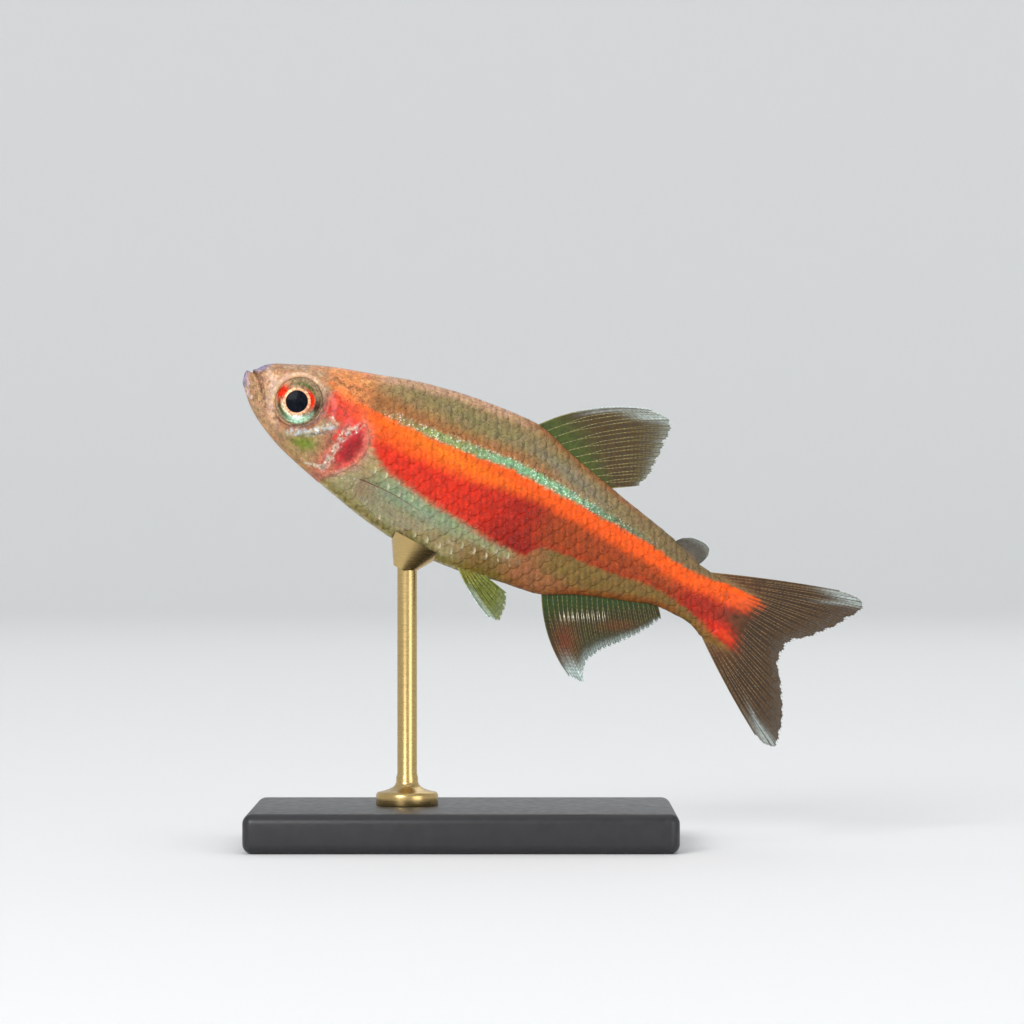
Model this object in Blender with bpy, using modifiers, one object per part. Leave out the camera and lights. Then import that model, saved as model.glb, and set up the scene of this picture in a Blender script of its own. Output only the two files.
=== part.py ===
# Glowlight tetra at life size, swimming nose up, held on a plain display stand.
# Metres, +Z up. The head points to -X and the fish's left side faces -Y.
# The origin is on the surface that the stand rests on, under the middle of the whole part.

import math

import bmesh
import bpy
import numpy as np
from mathutils import Matrix, Vector

# Driving dimensions of the fish
TOTAL_LENGTH = 0.040
PITCH = math.radians(28)  # nose up
TAIL_CLEARANCE = 0.006  # lowest fin tip above the surface
GAP = 0.0003  # between pieces that touch
FIN_HALF = 0.00028  # half the thickness of a fin at its root
FIN_EDGE_HALF = 0.00014  # and at its outer edge
RAY_RIDGE = 0.00012  # how far a ray stands out of the membrane
RAY_NOTCH = 0.00018  # how far the membrane's edge stands back between two ray tips
COVER_THICKNESS = 0.0006

# Driving dimensions of the stand
BASE_SIZE = (0.026, 0.018, 0.0024)
BASE_CENTRE_X = -0.0056
BASE_ROUNDING = 0.0006
ROD_RADIUS = 0.0006
ROD_FOOT_RADIUS = 0.0019
ROD_FOOT_HEIGHT = 0.0007
CRADLE_RADIUS = 0.0018
CRADLE_DEPTH = 0.0013
CRADLE_HUG = 0.0006  # how far the cradle reaches up beside the belly

# The outlines are in fortieths of the total length, which are millimetres at this size,
# in the fish's own frame: x from the snout towards the tail, z up, y to its right.
UNIT = TOTAL_LENGTH / 40
SNOUT, TAIL_ROOT = -0.05, 33.0
BACK = [(-0.05, 0.36), (0.1, 0.72), (0.35, 1.0), (1.1, 1.65), (2.0, 2.1), (4.0, 3.03), (7.0, 4.05),
        (10.0, 5.0), (13.5, 5.68), (17.0, 6.0), (20.0, 5.3), (24.0, 4.45), (27.7, 3.72),
        (30.0, 3.05), (33.0, 2.75)]
BELLY = [(-0.05, 0.24), (0.05, -0.15), (0.3, -0.5), (1.2, -1.35), (2.0, -1.85), (4.0, -2.7),
         (8.0, -3.65), (11.0, -4.2), (14.0, -4.45), (17.0, -4.2), (19.5, -3.62), (21.9, -3.2),
         (24.0, -2.15), (27.0, -1.0), (29.0, -0.38), (30.5, -0.35), (33.0, -1.1)]
HALF_WIDTH = [(-0.05, 0.12), (0.3, 0.55), (1.0, 0.98), (2.0, 1.35), (4.0, 1.75), (7.0, 2.05),
              (10.0, 2.15), (14.0, 2.1), (18.0, 1.8), (22.0, 1.32), (26.0, 0.92), (30.0, 0.64),
              (33.0, 0.42)]
WIDEST_LEVEL = [(-0.05, 0.3), (3.0, 0.3), (8.0, 0.2), (14.0, 0.4), (20.0, 0.8), (26.0, 1.2),
                (30.0, 1.35), (33.0, 0.85)]
BACK_SHARPNESS, BELLY_SHARPNESS = 1.12, 0.92  # over 1 pinches the section, under 1 fills it
BODY_STATIONS, BODY_SIDES = 46, 24
STATION_CROWDING = 1.35  # crowds the stations towards the snout

# Where the body is parted, and the plates and pits of the head
GILL_LINE = [(7.2, 5.2), (7.35, 3.0), (7.5, 1.7), (8.3, 0.75), (8.75, -0.2), (8.6, -1.2),
             (8.05, -2.15), (7.2, -3.0), (6.5, -4.6)]
GILL_STEPS = 19
STALK_LINE = [(30.5, 4.5), (28.9, -1.8)]
MOUTH_LINE = [(-0.8, 0.66), (0.4, 0.66), (0.95, 0.3), (1.9, -0.75), (2.7, -1.35), (3.1, -3.4)]
MOUTH_CORNER = 3  # the point of the mouth line where the lips end
COVER_OUTLINE = [(9.6, 1.3), (7.3, 1.3), (6.9, 0.4), (6.55, -0.6), (6.4, -1.7), (6.5, -2.85),
                 (9.6, -2.85)]
EYE_CENTRE = (3.65, 1.2, 0.4)
EYE_RADII = (1.47, 0.72, 1.47)
LIP_RADIUS, LIP_SINK, LIP_STEPS = 0.15, 0.05, 6
LIP_END_SHARE = 0.4  # of its radius, at the corner of the mouth
LIP_CROWDING = 1.6  # crowds the steps of a lip towards the front
NOSTRILS = [(1.6, 1.2, 0.14), (2.0, 1.45, 0.17)]  # x, z and radius
NOSTRIL_DEPTH = 0.3
COVER_INNER, COVER_STATIONS = 0.2, (4.0, 12.0)  # the plates stay off the middle plane
FAR = 15.0  # well outside the fish, for the blocks that part it
CRADLE_X = 14.0  # where the stand holds the belly, about half way along

# Each fin: the line of its ray roots, which is sunk in the body, the line of its ray tips,
# how far the first and last rays bow out, and the number of rays
DORSAL = dict(roots=[(16.8, 5.4), (19.8, 4.8), (22.4, 4.3)],
              tips=[(22.9, 10.05), (24.0, 10.05), (24.5, 9.5), (24.6, 8.0), (24.65, 6.7), (24.4, 5.6)],
              bow=(0.65, 0.0), rays=11)
ADIPOSE = dict(roots=[(27.8, 3.2), (29.6, 2.7)],
               tips=[(28.3, 4.05), (28.8, 4.3), (29.4, 4.36), (29.95, 4.2), (30.1, 3.8)],
               bow=(0.1, -0.1), rays=4, ridge=0.0)
ANAL = dict(roots=[(22.0, -2.6), (24.2, -1.6), (28.6, -0.1)],
            tips=[(26.1, -6.75), (27.0, -6.6), (26.6, -5.6), (26.9, -4.7), (27.8, -3.5),
                  (28.7, -2.3), (29.4, -1.0)],
            bow=(-0.5, 0.0), rays=21)
CAUDAL = dict(roots=[(30.2, 2.7), (32.2, 2.4), (32.7, 1.5), (32.7, 0.2), (32.2, -0.3), (31.2, -0.05)],
              tips=[(38.9, 5.8), (40.0, 5.5), (39.3, 4.1), (38.1, 2.4), (36.9, 1.15), (36.9, 0.5),
                    (38.0, -1.3), (38.9, -3.1), (39.25, -4.5), (38.3, -4.75)],
              bow=(0.05, -0.15), rays=19)
REAR_TIP, LOW_TIP = (40.0, 5.5), (39.25, -4.55)  # of the tail fin
PELVIC = dict(roots=[(16.6, -3.6), (17.8, -3.5)],
              tips=[(20.1, -5.95), (20.7, -5.75), (20.65, -4.95), (20.3, -4.0)],
              bow=(-0.25, 0.0), rays=8)
PECTORAL = dict(roots=[(8.9, -2.1), (8.95, -2.8)],
                tips=[(13.4, -2.05), (14.9, -2.4), (14.7, -2.9), (13.4, -3.35), (11.8, -3.6)],
                bow=(0.15, -0.1), rays=11)
FIN_ROWS = 8
PELVIC_PLACE, PELVIC_SPLAY = 0.62, math.radians(20)  # sideways place of the root, and tilt outwards
PECTORAL_SPLAY = math.radians(12)

# Colour, roughness and metallic value of each material
FINISHES = {
    "head": ((0.55, 0.30, 0.17), 0.35, 0.1),
    "lower_jaw": ((0.50, 0.36, 0.22), 0.35, 0.1),
    "gill_cover": ((0.45, 0.16, 0.12), 0.25, 0.5),
    "eye": ((0.30, 0.36, 0.30), 0.08, 0.3),
    "trunk": ((0.70, 0.20, 0.06), 0.3, 0.3),
    "tail_stalk": ((0.62, 0.12, 0.04), 0.3, 0.2),
    "fin": ((0.22, 0.19, 0.13), 0.4, 0.0),
    "stand_base": ((0.03, 0.03, 0.032), 0.35, 0.0),
    "stand_rod": ((0.60, 0.45, 0.22), 0.25, 1.0),
}


def curve_through(points):
    """A smooth function through (x, value) points, which doesn't overshoot between them."""
    xs, values = np.array(points, float).T
    steepness = np.diff(values) / np.diff(xs)
    before, after = steepness[:-1], steepness[1:]
    turns = before * after <= 0
    middle = np.where(turns, 0, 2 * before * after / np.where(turns, 1, before + after))
    slopes = np.concatenate([steepness[:1], middle, steepness[-1:]])

    def value(x):
        i = int(np.clip(np.searchsorted(xs, x) - 1, 0, len(xs) - 2))
        step = xs[i + 1] - xs[i]
        t = (x - xs[i]) / step
        return float(
            values[i] * (1 + 2 * t) * (1 - t) ** 2
            + slopes[i] * step * t * (1 - t) ** 2
            + values[i + 1] * t * t * (3 - 2 * t)
            + slopes[i + 1] * step * t * t * (t - 1)
        )

    return value


def line_through(points):
    """A smooth line through (x, z) points, read by the share of its length from 0 to 1."""
    points = np.array(points, float)
    lengths = np.concatenate([[0], np.cumsum(np.linalg.norm(np.diff(points, axis=0), axis=1))])
    shares = lengths / lengths[-1]
    x_at = curve_through(np.column_stack([shares, points[:, 0]]))
    z_at = curve_through(np.column_stack([shares, points[:, 1]]))
    return lambda share: np.array([x_at(share), z_at(share)])


back = curve_through(BACK)
belly = curve_through(BELLY)
half_width = curve_through(HALF_WIDTH)
widest_level = curve_through(WIDEST_LEVEL)


def shifted(line, distance):
    """The (x, z) line moved sideways: to the right of its own direction by distance."""
    line = np.array(line, float)
    runs = np.diff(line, axis=0)
    rights = np.column_stack([runs[:, 1], -runs[:, 0]]) / np.linalg.norm(runs, axis=1)[:, None]
    before, after = np.vstack([rights[:1], rights]), np.vstack([rights, rights[-1:]])
    corners = (before + after) / (1 + (before * after).sum(axis=1))[:, None]
    return [tuple(point) for point in line + distance * corners]


def to_body_side(x, z):
    """How far the flank is from the middle plane at a place of the side view."""
    level = widest_level(x)
    reach = back(x) - level if z > level else level - belly(x)
    rise = min(1.0, abs(z - level) / reach)
    sharpness = BACK_SHARPNESS if z > level else BELLY_SHARPNESS
    return half_width(x) * math.sqrt(1 - rise * rise) ** sharpness


def new_object(name, mesh, collection):
    obj = bpy.data.objects.new(name, mesh)
    collection.objects.link(obj)
    if collection is cutters:
        obj.hide_render = True
        obj.display_type = "WIRE"
    if collection is not stand:
        obj.parent = pose
    return obj


def mesh_of(bm, name):
    bmesh.ops.recalc_face_normals(bm, faces=bm.faces)
    mesh = bpy.data.meshes.new(name)
    bm.to_mesh(mesh)
    bm.free()
    return mesh


def body_loft(name, collection, grow=0.0, start=SNOUT, end=TAIL_ROOT):
    """The closed body between two stations, grown or shrunk all round."""
    bm = bmesh.new()
    rings = []
    for i in range(BODY_STATIONS + 1):
        x = start + (end - start) * (i / BODY_STATIONS) ** STATION_CROWDING
        level = widest_level(x)
        ring = []
        for k in range(BODY_SIDES):
            turn = 2 * math.pi * k / BODY_SIDES
            rise = -math.cos(turn)
            reach = back(x) + grow - level if rise > 0 else level - belly(x) + grow
            sharpness = BACK_SHARPNESS if rise > 0 else BELLY_SHARPNESS
            side = math.copysign(abs(math.sin(turn)) ** sharpness, math.sin(turn))
            place = Vector((x, (half_width(x) + grow) * side, level + reach * rise))
            place.x += max(grow, 0) * ((i == BODY_STATIONS) - (i == 0))
            ring.append(bm.verts.new(place * UNIT))
        rings.append(ring)
    for ring, following in zip(rings, rings[1:]):
        for k in range(BODY_SIDES):
            n = (k + 1) % BODY_SIDES
            bm.faces.new([ring[k], ring[n], following[n], following[k]])
    bm.faces.new(rings[0])
    bm.faces.new(rings[-1])
    return new_object(name, mesh_of(bm, name), collection)


def prism(name, outline, sides=(-FAR, FAR)):
    """A cutter: an (x, z) outline drawn out across the fish between two y values."""
    bm = bmesh.new()
    face = bm.faces.new([bm.verts.new(Vector((x, sides[0], z)) * UNIT) for x, z in outline])
    drawn = bmesh.ops.extrude_face_region(bm, geom=[face])["geom"]
    across = Vector((0, sides[1] - sides[0], 0)) * UNIT
    bmesh.ops.translate(bm, vec=across, verts=[v for v in drawn if isinstance(v, bmesh.types.BMVert)])
    return new_object(name, mesh_of(bm, name), cutters)


def ball(name, collection, centre, radii, segments=20, rings=12):
    bm = bmesh.new()
    bmesh.ops.create_uvsphere(bm, u_segments=segments, v_segments=rings, radius=1)
    # the poles point sideways, so that the eye is round in the side view
    turn = Matrix.Rotation(math.pi / 2, 4, "X")
    place = Matrix.Translation(Vector(centre) * UNIT) @ Matrix.Diagonal([*(Vector(radii) * UNIT), 1])
    bmesh.ops.transform(bm, matrix=place @ turn, verts=bm.verts)
    return new_object(name, mesh_of(bm, name), collection)


def tube(name, points, radius):
    """A helper tube with filled ends through points in metres, as a closed mesh."""
    curve = bpy.data.curves.new(name, "CURVE")
    curve.dimensions = "3D"
    curve.bevel_depth = radius
    curve.bevel_resolution = 2
    curve.use_fill_caps = True
    spline = curve.splines.new("POLY")
    spline.points.add(len(points) - 1)
    for target, point in zip(spline.points, points):
        target.co = (*point, 1)
    spline.points[0].radius = spline.points[-1].radius = LIP_END_SHARE
    guide = new_object(name, curve, cutters)
    bpy.context.view_layer.update()
    mesh = bpy.data.meshes.new_from_object(guide.evaluated_get(bpy.context.evaluated_depsgraph_get()))
    bpy.data.objects.remove(guide)
    bm = bmesh.new()
    bm.from_mesh(mesh)
    bmesh.ops.remove_doubles(bm, verts=bm.verts, dist=1e-6)
    return new_object(name, mesh_of(bm, name), cutters)


def settle(obj):
    """Applies the modifiers and keeps the largest closed surface."""
    bpy.context.view_layer.update()
    evaluated = obj.evaluated_get(bpy.context.evaluated_depsgraph_get())
    mesh = bpy.data.meshes.new_from_object(evaluated)
    obj.modifiers.clear()
    obj.data = mesh
    bm = bmesh.new()
    bm.from_mesh(mesh)
    islands, waiting = [], set(bm.verts)
    while waiting:
        island, edge = set(), [waiting.pop()]
        while edge:
            vert = edge.pop()
            island.add(vert)
            near = {e.other_vert(vert) for e in vert.link_edges} & waiting
            waiting -= near
            edge += near
        islands.append(island)
    largest = max(islands, key=lambda island: math.prod(extent(island)))
    loose = [vert for vert in bm.verts if vert not in largest]
    bmesh.ops.delete(bm, geom=loose, context="VERTS")
    bm.to_mesh(mesh)
    bm.free()


def extent(verts):
    places = np.array([vert.co for vert in verts])
    return places.max(axis=0) - places.min(axis=0)


def combined(obj, operation, *others):
    """The object after a Boolean with each of the others in turn."""
    for other in others:
        modifier = obj.modifiers.new(operation.lower(), "BOOLEAN")
        modifier.operation = operation
        modifier.object = other
    settle(obj)
    return obj


def copy_of(obj, name, collection):
    return new_object(name, obj.data.copy(), collection)


def finish(obj, finish_name):
    colour, roughness, metallic = FINISHES[finish_name]
    material = bpy.data.materials.new(obj.name)
    material.use_nodes = True
    shader = material.node_tree.nodes["Principled BSDF"]
    shader.inputs["Base Color"].default_value = (*colour, 1)
    shader.inputs["Roughness"].default_value = roughness
    shader.inputs["Metallic"].default_value = metallic
    material.diffuse_color = (*colour, 1)
    obj.data.materials.clear()
    obj.data.materials.append(material)
    obj.data.shade_smooth()
    obj.data.set_sharp_from_angle(angle=math.radians(35))


def fin_sheet(name, roots, tips, bow, rays, ridge=RAY_RIDGE):
    """A fin in the middle plane, with its rays raised as ridges of the membrane on both faces.

    One face is made, with a wall from its border to the middle plane, and a Mirror adds the other."""
    root_at, tip_at = line_through(roots), line_through(tips)
    columns = 2 * rays - 1  # each ray's crest, and the membrane between two rays
    bm = bmesh.new()
    grid = []
    for k in range(columns):
        share = k / (columns - 1)
        on_ray = k % 2 == 0
        root, tip = root_at(share), tip_at(share)
        ray = tip - root
        if ridge and not on_ray:
            tip = tip - ray / np.linalg.norm(ray) * RAY_NOTCH / UNIT
        outward = np.array([-ray[1], ray[0]]) / np.linalg.norm(ray)
        bend = root + ray / 2 + 2 * outward * (bow[0] * (1 - share) ** 2 + bow[1] * share**2)
        column = []
        for row in range(FIN_ROWS + 1):
            s = row / FIN_ROWS
            x, z = root * (1 - s) ** 2 + bend * 2 * s * (1 - s) + tip * s * s
            half = FIN_HALF + (FIN_EDGE_HALF - FIN_HALF) * s**4 + (ridge if on_ray else 0) * (1 - s**3)
            column.append(bm.verts.new((x * UNIT, -half, z * UNIT)))
        grid.append(column)
    for a, b in zip(grid, grid[1:]):
        for row in range(FIN_ROWS):
            bm.faces.new([a[row], b[row], b[row + 1]])
            bm.faces.new([a[row], b[row + 1], a[row + 1]])
    border = [edge for edge in bm.edges if edge.is_boundary]
    wall = bmesh.ops.extrude_edge_only(bm, edges=border)["geom"]
    for vert in wall:
        if isinstance(vert, bmesh.types.BMVert):
            vert.co.y = 0
    obj = new_object(name, mesh_of(bm, name), fish)
    mirror = obj.modifiers.new("mirror", "MIRROR")
    mirror.use_axis = (False, True, False)
    mirror.merge_threshold = 1e-6
    return obj


def part_of(source, name, block):
    """The share of a body that lies inside a block, as a piece of the fish."""
    return combined(copy_of(source, name, fish), "INTERSECT", block)


def make_gill_cover(head, side, sign):
    """A plate of even thickness, and the pocket in the head that it lies in."""
    half_outline = [(-FAR, FAR), (FAR, FAR), (FAR, -FAR), (-FAR, -FAR)]
    half = prism(f"half_{side}", half_outline, sorted((COVER_INNER * sign, FAR * sign)))
    cover = part_of(head, f"gill_cover_{side}", prism(f"cover_block_{side}", COVER_OUTLINE))
    under_cover = body_loft(f"under_cover_{side}", cutters, -COVER_THICKNESS / UNIT, *COVER_STATIONS)
    combined(cover, "DIFFERENCE", under_cover)
    combined(cover, "INTERSECT", half)
    finish(cover, "gill_cover")
    pocket = prism(f"pocket_{side}", shifted(COVER_OUTLINE, GAP / UNIT))
    deeper = -(COVER_THICKNESS + GAP) / UNIT
    under_pocket = body_loft(f"under_pocket_{side}", cutters, deeper, *COVER_STATIONS)
    combined(pocket, "DIFFERENCE", under_pocket)
    return combined(pocket, "INTERSECT", half)


def make_eye(side, sign):
    centre = (EYE_CENTRE[0], EYE_CENTRE[1] * sign, EYE_CENTRE[2])
    finish(ball(f"eye_{side}", fish, centre, EYE_RADII), "eye")
    return ball(f"socket_{side}", cutters, centre, [r + GAP / UNIT for r in EYE_RADII])


def nostril_pits(side, sign):
    return [ball(f"nostril_{side}_{x}", cutters, (x, sign * to_body_side(x, z), z),
                 (radius, NOSTRIL_DEPTH, radius), 10, 6) for x, z, radius in NOSTRILS]


def make_lower_jaw(head):
    jaw_line = shifted(MOUTH_LINE, GAP / 2 / UNIT)
    below_mouth = (MOUTH_LINE[0][0], MOUTH_LINE[-1][1])
    jaw = part_of(head, "lower_jaw", prism("jaw_block", [*jaw_line, below_mouth]))
    combined(jaw, "UNION", lip("lower_lip", shifted(MOUTH_LINE, GAP / 2 / UNIT + LIP_RADIUS)))
    finish(jaw, "lower_jaw")
    return prism("mouth", [*shifted(MOUTH_LINE, -GAP / 2 / UNIT), below_mouth])


def make_head(body):
    """The head with its mouth, lips, eyes, nostrils and gill covers."""
    gill_line = [line_through(GILL_LINE)(share) for share in np.linspace(0, 1, GILL_STEPS)]
    ahead, behind = shifted(gill_line, GAP / 2 / UNIT), shifted(gill_line, -GAP / 2 / UNIT)
    head = part_of(body, "head", prism("head_block", [(-FAR, FAR), *ahead, (-FAR, -FAR)]))
    cuts = []
    for side, sign in (("left", -1), ("right", 1)):
        cuts += [make_gill_cover(head, side, sign), make_eye(side, sign), *nostril_pits(side, sign)]
    mouth = make_lower_jaw(head)
    combined(head, "DIFFERENCE", mouth)
    combined(head, "UNION", lip("upper_lip", shifted(MOUTH_LINE, -GAP / 2 / UNIT - LIP_RADIUS)))
    combined(head, "DIFFERENCE", *cuts)
    finish(head, "head")
    return behind


def make_body():
    body = body_loft("body", cutters)
    behind_gills = make_head(body)
    stalk_ahead = shifted(STALK_LINE, GAP / 2 / UNIT)
    stalk_behind = shifted(STALK_LINE, -GAP / 2 / UNIT)
    trunk_outline = [*behind_gills, (CRADLE_X, -FAR), *reversed(stalk_ahead), (CRADLE_X, FAR)]
    finish(part_of(body, "trunk", prism("trunk_block", trunk_outline)), "trunk")
    past_end = TAIL_ROOT + 1
    stalk_outline = [*stalk_behind, (past_end, STALK_LINE[1][1]), (past_end, STALK_LINE[0][1])]
    finish(part_of(body, "tail_stalk", prism("stalk_block", stalk_outline)), "tail_stalk")


def lip(name, line):
    """A rolled lip from one corner of the mouth round the snout to the other."""
    level_at = curve_through(line)
    front = SNOUT
    while not belly(front) < level_at(front) < back(front):
        front += 0.02
    side = []
    for step in range(LIP_STEPS, 0, -1):
        x = front + (line[MOUTH_CORNER][0] - front) * (step / LIP_STEPS) ** LIP_CROWDING
        z = level_at(x)
        side.append(Vector((x, to_body_side(x, z) - LIP_SINK, z)))
    middle = Vector((front + LIP_SINK, 0, level_at(front)))
    path = [*side, middle, *[Vector((p.x, -p.y, p.z)) for p in reversed(side)]]
    return tube(name, [point * UNIT for point in path], LIP_RADIUS * UNIT)


def make_fins():
    clear = body_loft("body_with_gap", cutters, GAP / UNIT)
    for name, shape in {"dorsal_fin": DORSAL, "adipose_fin": ADIPOSE, "anal_fin": ANAL,
                        "caudal_fin": CAUDAL}.items():
        finish(combined(fin_sheet(name, **shape), "DIFFERENCE", clear), "fin")
    for side, sign in (("left", -1), ("right", 1)):
        pelvic = fin_sheet(f"pelvic_fin_{side}", **PELVIC)
        root = Vector((0, PELVIC_PLACE * sign, BELLY_AT_PELVIC)) * UNIT
        pelvic.location = root
        pelvic.rotation_euler.x = PELVIC_SPLAY * sign
        pelvic.data.transform(Matrix.Translation((0, 0, -BELLY_AT_PELVIC * UNIT)))
        finish(combined(pelvic, "DIFFERENCE", clear), "fin")

        pectoral = fin_sheet(f"pectoral_fin_{side}", **PECTORAL)
        root_x, root_z = PECTORAL["roots"][0]
        flank = to_body_side(root_x, root_z) * UNIT + GAP + FIN_HALF
        pectoral.location = (root_x * UNIT, sign * flank, 0)
        pectoral.rotation_euler.z = PECTORAL_SPLAY * sign
        pectoral.data.transform(Matrix.Translation((-root_x * UNIT, 0, 0)))
        finish(combined(pectoral, "DIFFERENCE", clear), "fin")


def make_stand():
    bpy.ops.mesh.primitive_cube_add(size=1)
    base = bpy.context.object
    base.name = "stand_base"
    base.data.transform(Matrix.Diagonal([*BASE_SIZE, 1]))
    base.location = (BASE_CENTRE_X, 0, BASE_SIZE[2] / 2)
    for collection in base.users_collection:
        collection.objects.unlink(base)
    stand.objects.link(base)
    bevel = base.modifiers.new("rounded edges", "BEVEL")
    bevel.width = BASE_ROUNDING
    bevel.segments = 3
    settle(base)
    finish(base, "stand_base")

    belly_point = pose.matrix_world @ (Vector((CRADLE_X, 0, belly(CRADLE_X))) * UNIT)
    foot = BASE_SIZE[2] + GAP
    profile = [(ROD_RADIUS, belly_point.z - CRADLE_DEPTH / 2), (ROD_RADIUS, foot + 2 * ROD_FOOT_HEIGHT),
               (ROD_FOOT_RADIUS, foot + ROD_FOOT_HEIGHT), (ROD_FOOT_RADIUS, foot)]
    bm = bmesh.new()
    points = [(0, profile[0][1]), *profile, (0, profile[-1][1])]
    verts = [bm.verts.new((x, 0, z)) for x, z in points]
    for a, b in zip(verts, verts[1:]):
        bm.edges.new((a, b))
    mesh = bpy.data.meshes.new("stand_rod")
    bm.to_mesh(mesh)
    bm.free()
    rod = new_object("stand_rod", mesh, stand)
    rod.location = (belly_point.x, 0, 0)
    screw = rod.modifiers.new("turned", "SCREW")
    screw.steps = screw.render_steps = 20
    screw.use_merge_vertices = True
    screw.merge_threshold = 1e-6
    settle(rod)

    bm = bmesh.new()
    bmesh.ops.create_cone(bm, cap_ends=True, segments=20, radius1=ROD_RADIUS, radius2=CRADLE_RADIUS,
                          depth=CRADLE_DEPTH + CRADLE_HUG)
    cradle = new_object("cradle", mesh_of(bm, "cradle"), cutters)
    middle = belly(CRADLE_X) * UNIT + (CRADLE_HUG - CRADLE_DEPTH) / 2
    cradle.location = (CRADLE_X * UNIT, 0, middle)
    combined(rod, "UNION", cradle)
    combined(rod, "DIFFERENCE", bpy.data.objects["body_with_gap"])
    finish(rod, "stand_rod")


for old in list(bpy.data.objects):
    bpy.data.objects.remove(old)
fish, stand, cutters = (bpy.data.collections.new(n) for n in ("glowlight_tetra", "display_stand", "cutters"))
for group in (fish, stand, cutters):
    bpy.context.scene.collection.children.link(group)

BELLY_AT_PELVIC = belly(PELVIC["roots"][0][0])

# The whole fish hangs on one empty at the snout. Its X puts the middle of the part over the origin,
# and its Z keeps the lower tip of the tail fin clear of the surface.
pose = bpy.data.objects.new("pose", None)
fish.objects.link(pose)
turned = Matrix.Rotation(PITCH, 4, "Y") @ Matrix.Diagonal((UNIT, UNIT, UNIT, 1))
rearmost, lowest = (turned @ Vector((x, 0, z)) for x, z in (REAR_TIP, LOW_TIP))
pose.rotation_euler.y = PITCH
pose.location = (-rearmost.x / 2, 0, TAIL_CLEARANCE - lowest.z)
bpy.context.view_layer.update()

make_body()
make_fins()
make_stand()
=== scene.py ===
import math

import bmesh
import bpy
import numpy as np
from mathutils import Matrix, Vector, noise


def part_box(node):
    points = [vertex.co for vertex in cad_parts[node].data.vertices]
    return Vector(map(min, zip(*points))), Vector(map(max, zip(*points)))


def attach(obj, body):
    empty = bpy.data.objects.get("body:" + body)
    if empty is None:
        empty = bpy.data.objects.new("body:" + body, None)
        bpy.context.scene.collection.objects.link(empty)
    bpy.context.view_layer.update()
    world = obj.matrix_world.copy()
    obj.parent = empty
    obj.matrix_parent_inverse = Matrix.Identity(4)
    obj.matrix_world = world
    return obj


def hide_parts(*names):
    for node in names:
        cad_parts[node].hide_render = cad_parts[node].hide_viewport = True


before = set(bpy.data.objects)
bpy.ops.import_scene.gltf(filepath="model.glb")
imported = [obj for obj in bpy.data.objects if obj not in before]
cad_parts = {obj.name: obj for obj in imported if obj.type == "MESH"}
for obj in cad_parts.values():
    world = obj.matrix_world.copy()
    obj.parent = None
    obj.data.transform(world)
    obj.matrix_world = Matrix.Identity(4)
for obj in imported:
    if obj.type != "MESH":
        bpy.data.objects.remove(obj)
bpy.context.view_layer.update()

# Lengths of the fish are in millimetres in its own frame: x from the snout to the tail,
# y to its right, z up. The pose puts that frame in the row frame, which is in metres.
pose = {"snout": (-0.01895, 0.0, 0.028444), "noseUp": math.radians(28), "millimetre": 0.001}
turnCos, turnSin = math.cos(pose["noseUp"]), math.sin(pose["noseUp"])


def toRow(places):
    x, y, z = np.moveaxis(np.asarray(places, float), -1, 0)
    turned = np.stack([x * turnCos + z * turnSin, y, z * turnCos - x * turnSin], -1)
    return turned * pose["millimetre"] + np.array(pose["snout"])


def toFish(places):
    x, y, z = np.moveaxis((np.asarray(places, float) - pose["snout"]) / pose["millimetre"], -1, 0)
    return np.stack([x * turnCos - z * turnSin, y, x * turnSin + z * turnCos], -1)


# Curves through a few points, as the solids have them: they don't overshoot
def curveThrough(points):
    xs, values = np.array(points, float).T
    steep = np.diff(values) / np.diff(xs)
    before, after = steep[:-1], steep[1:]
    turns = before * after <= 0
    middle = np.where(turns, 0, 2 * before * after / np.where(turns, 1, before + after))
    slopes = np.concatenate([steep[:1], middle, steep[-1:]])

    def value(x):
        x = np.clip(np.asarray(x, float), xs[0], xs[-1])
        i = np.clip(np.searchsorted(xs, x) - 1, 0, len(xs) - 2)
        step = xs[i + 1] - xs[i]
        t = (x - xs[i]) / step
        return (values[i] * (1 + 2 * t) * (1 - t) ** 2 + slopes[i] * step * t * (1 - t) ** 2
                + values[i + 1] * t * t * (3 - 2 * t) + slopes[i + 1] * step * t * t * (t - 1))

    return value


def lineThrough(points):
    points = np.array(points, float)
    lengths = np.concatenate([[0], np.cumsum(np.linalg.norm(np.diff(points, axis=0), axis=1))])
    shares = lengths / lengths[-1]
    xAt = curveThrough(np.column_stack([shares, points[:, 0]]))
    zAt = curveThrough(np.column_stack([shares, points[:, 1]]))
    return lambda share: np.stack([xAt(share), zAt(share)], -1)


# From 0 at the start to 1 at the end, which may lie below the start
def smooth(value, start, end):
    t = np.clip((value - start) / (end - start), 0, 1)
    return t * t * (3 - 2 * t)


def between(value, low, high, soft):
    return smooth(value, low - soft, low + soft) * smooth(value, high + soft, high - soft)


def bell(value, width):
    return np.exp(-(value / width) ** 2)


def spot(x, z, centre, radii, lean=0.0):
    c, s = math.cos(math.radians(lean)), math.sin(math.radians(lean))
    dx, dz = x - centre[0], z - centre[1]
    return bell(dx * c + dz * s, radii[0]) * bell(dz * c - dx * s, radii[1])


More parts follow.
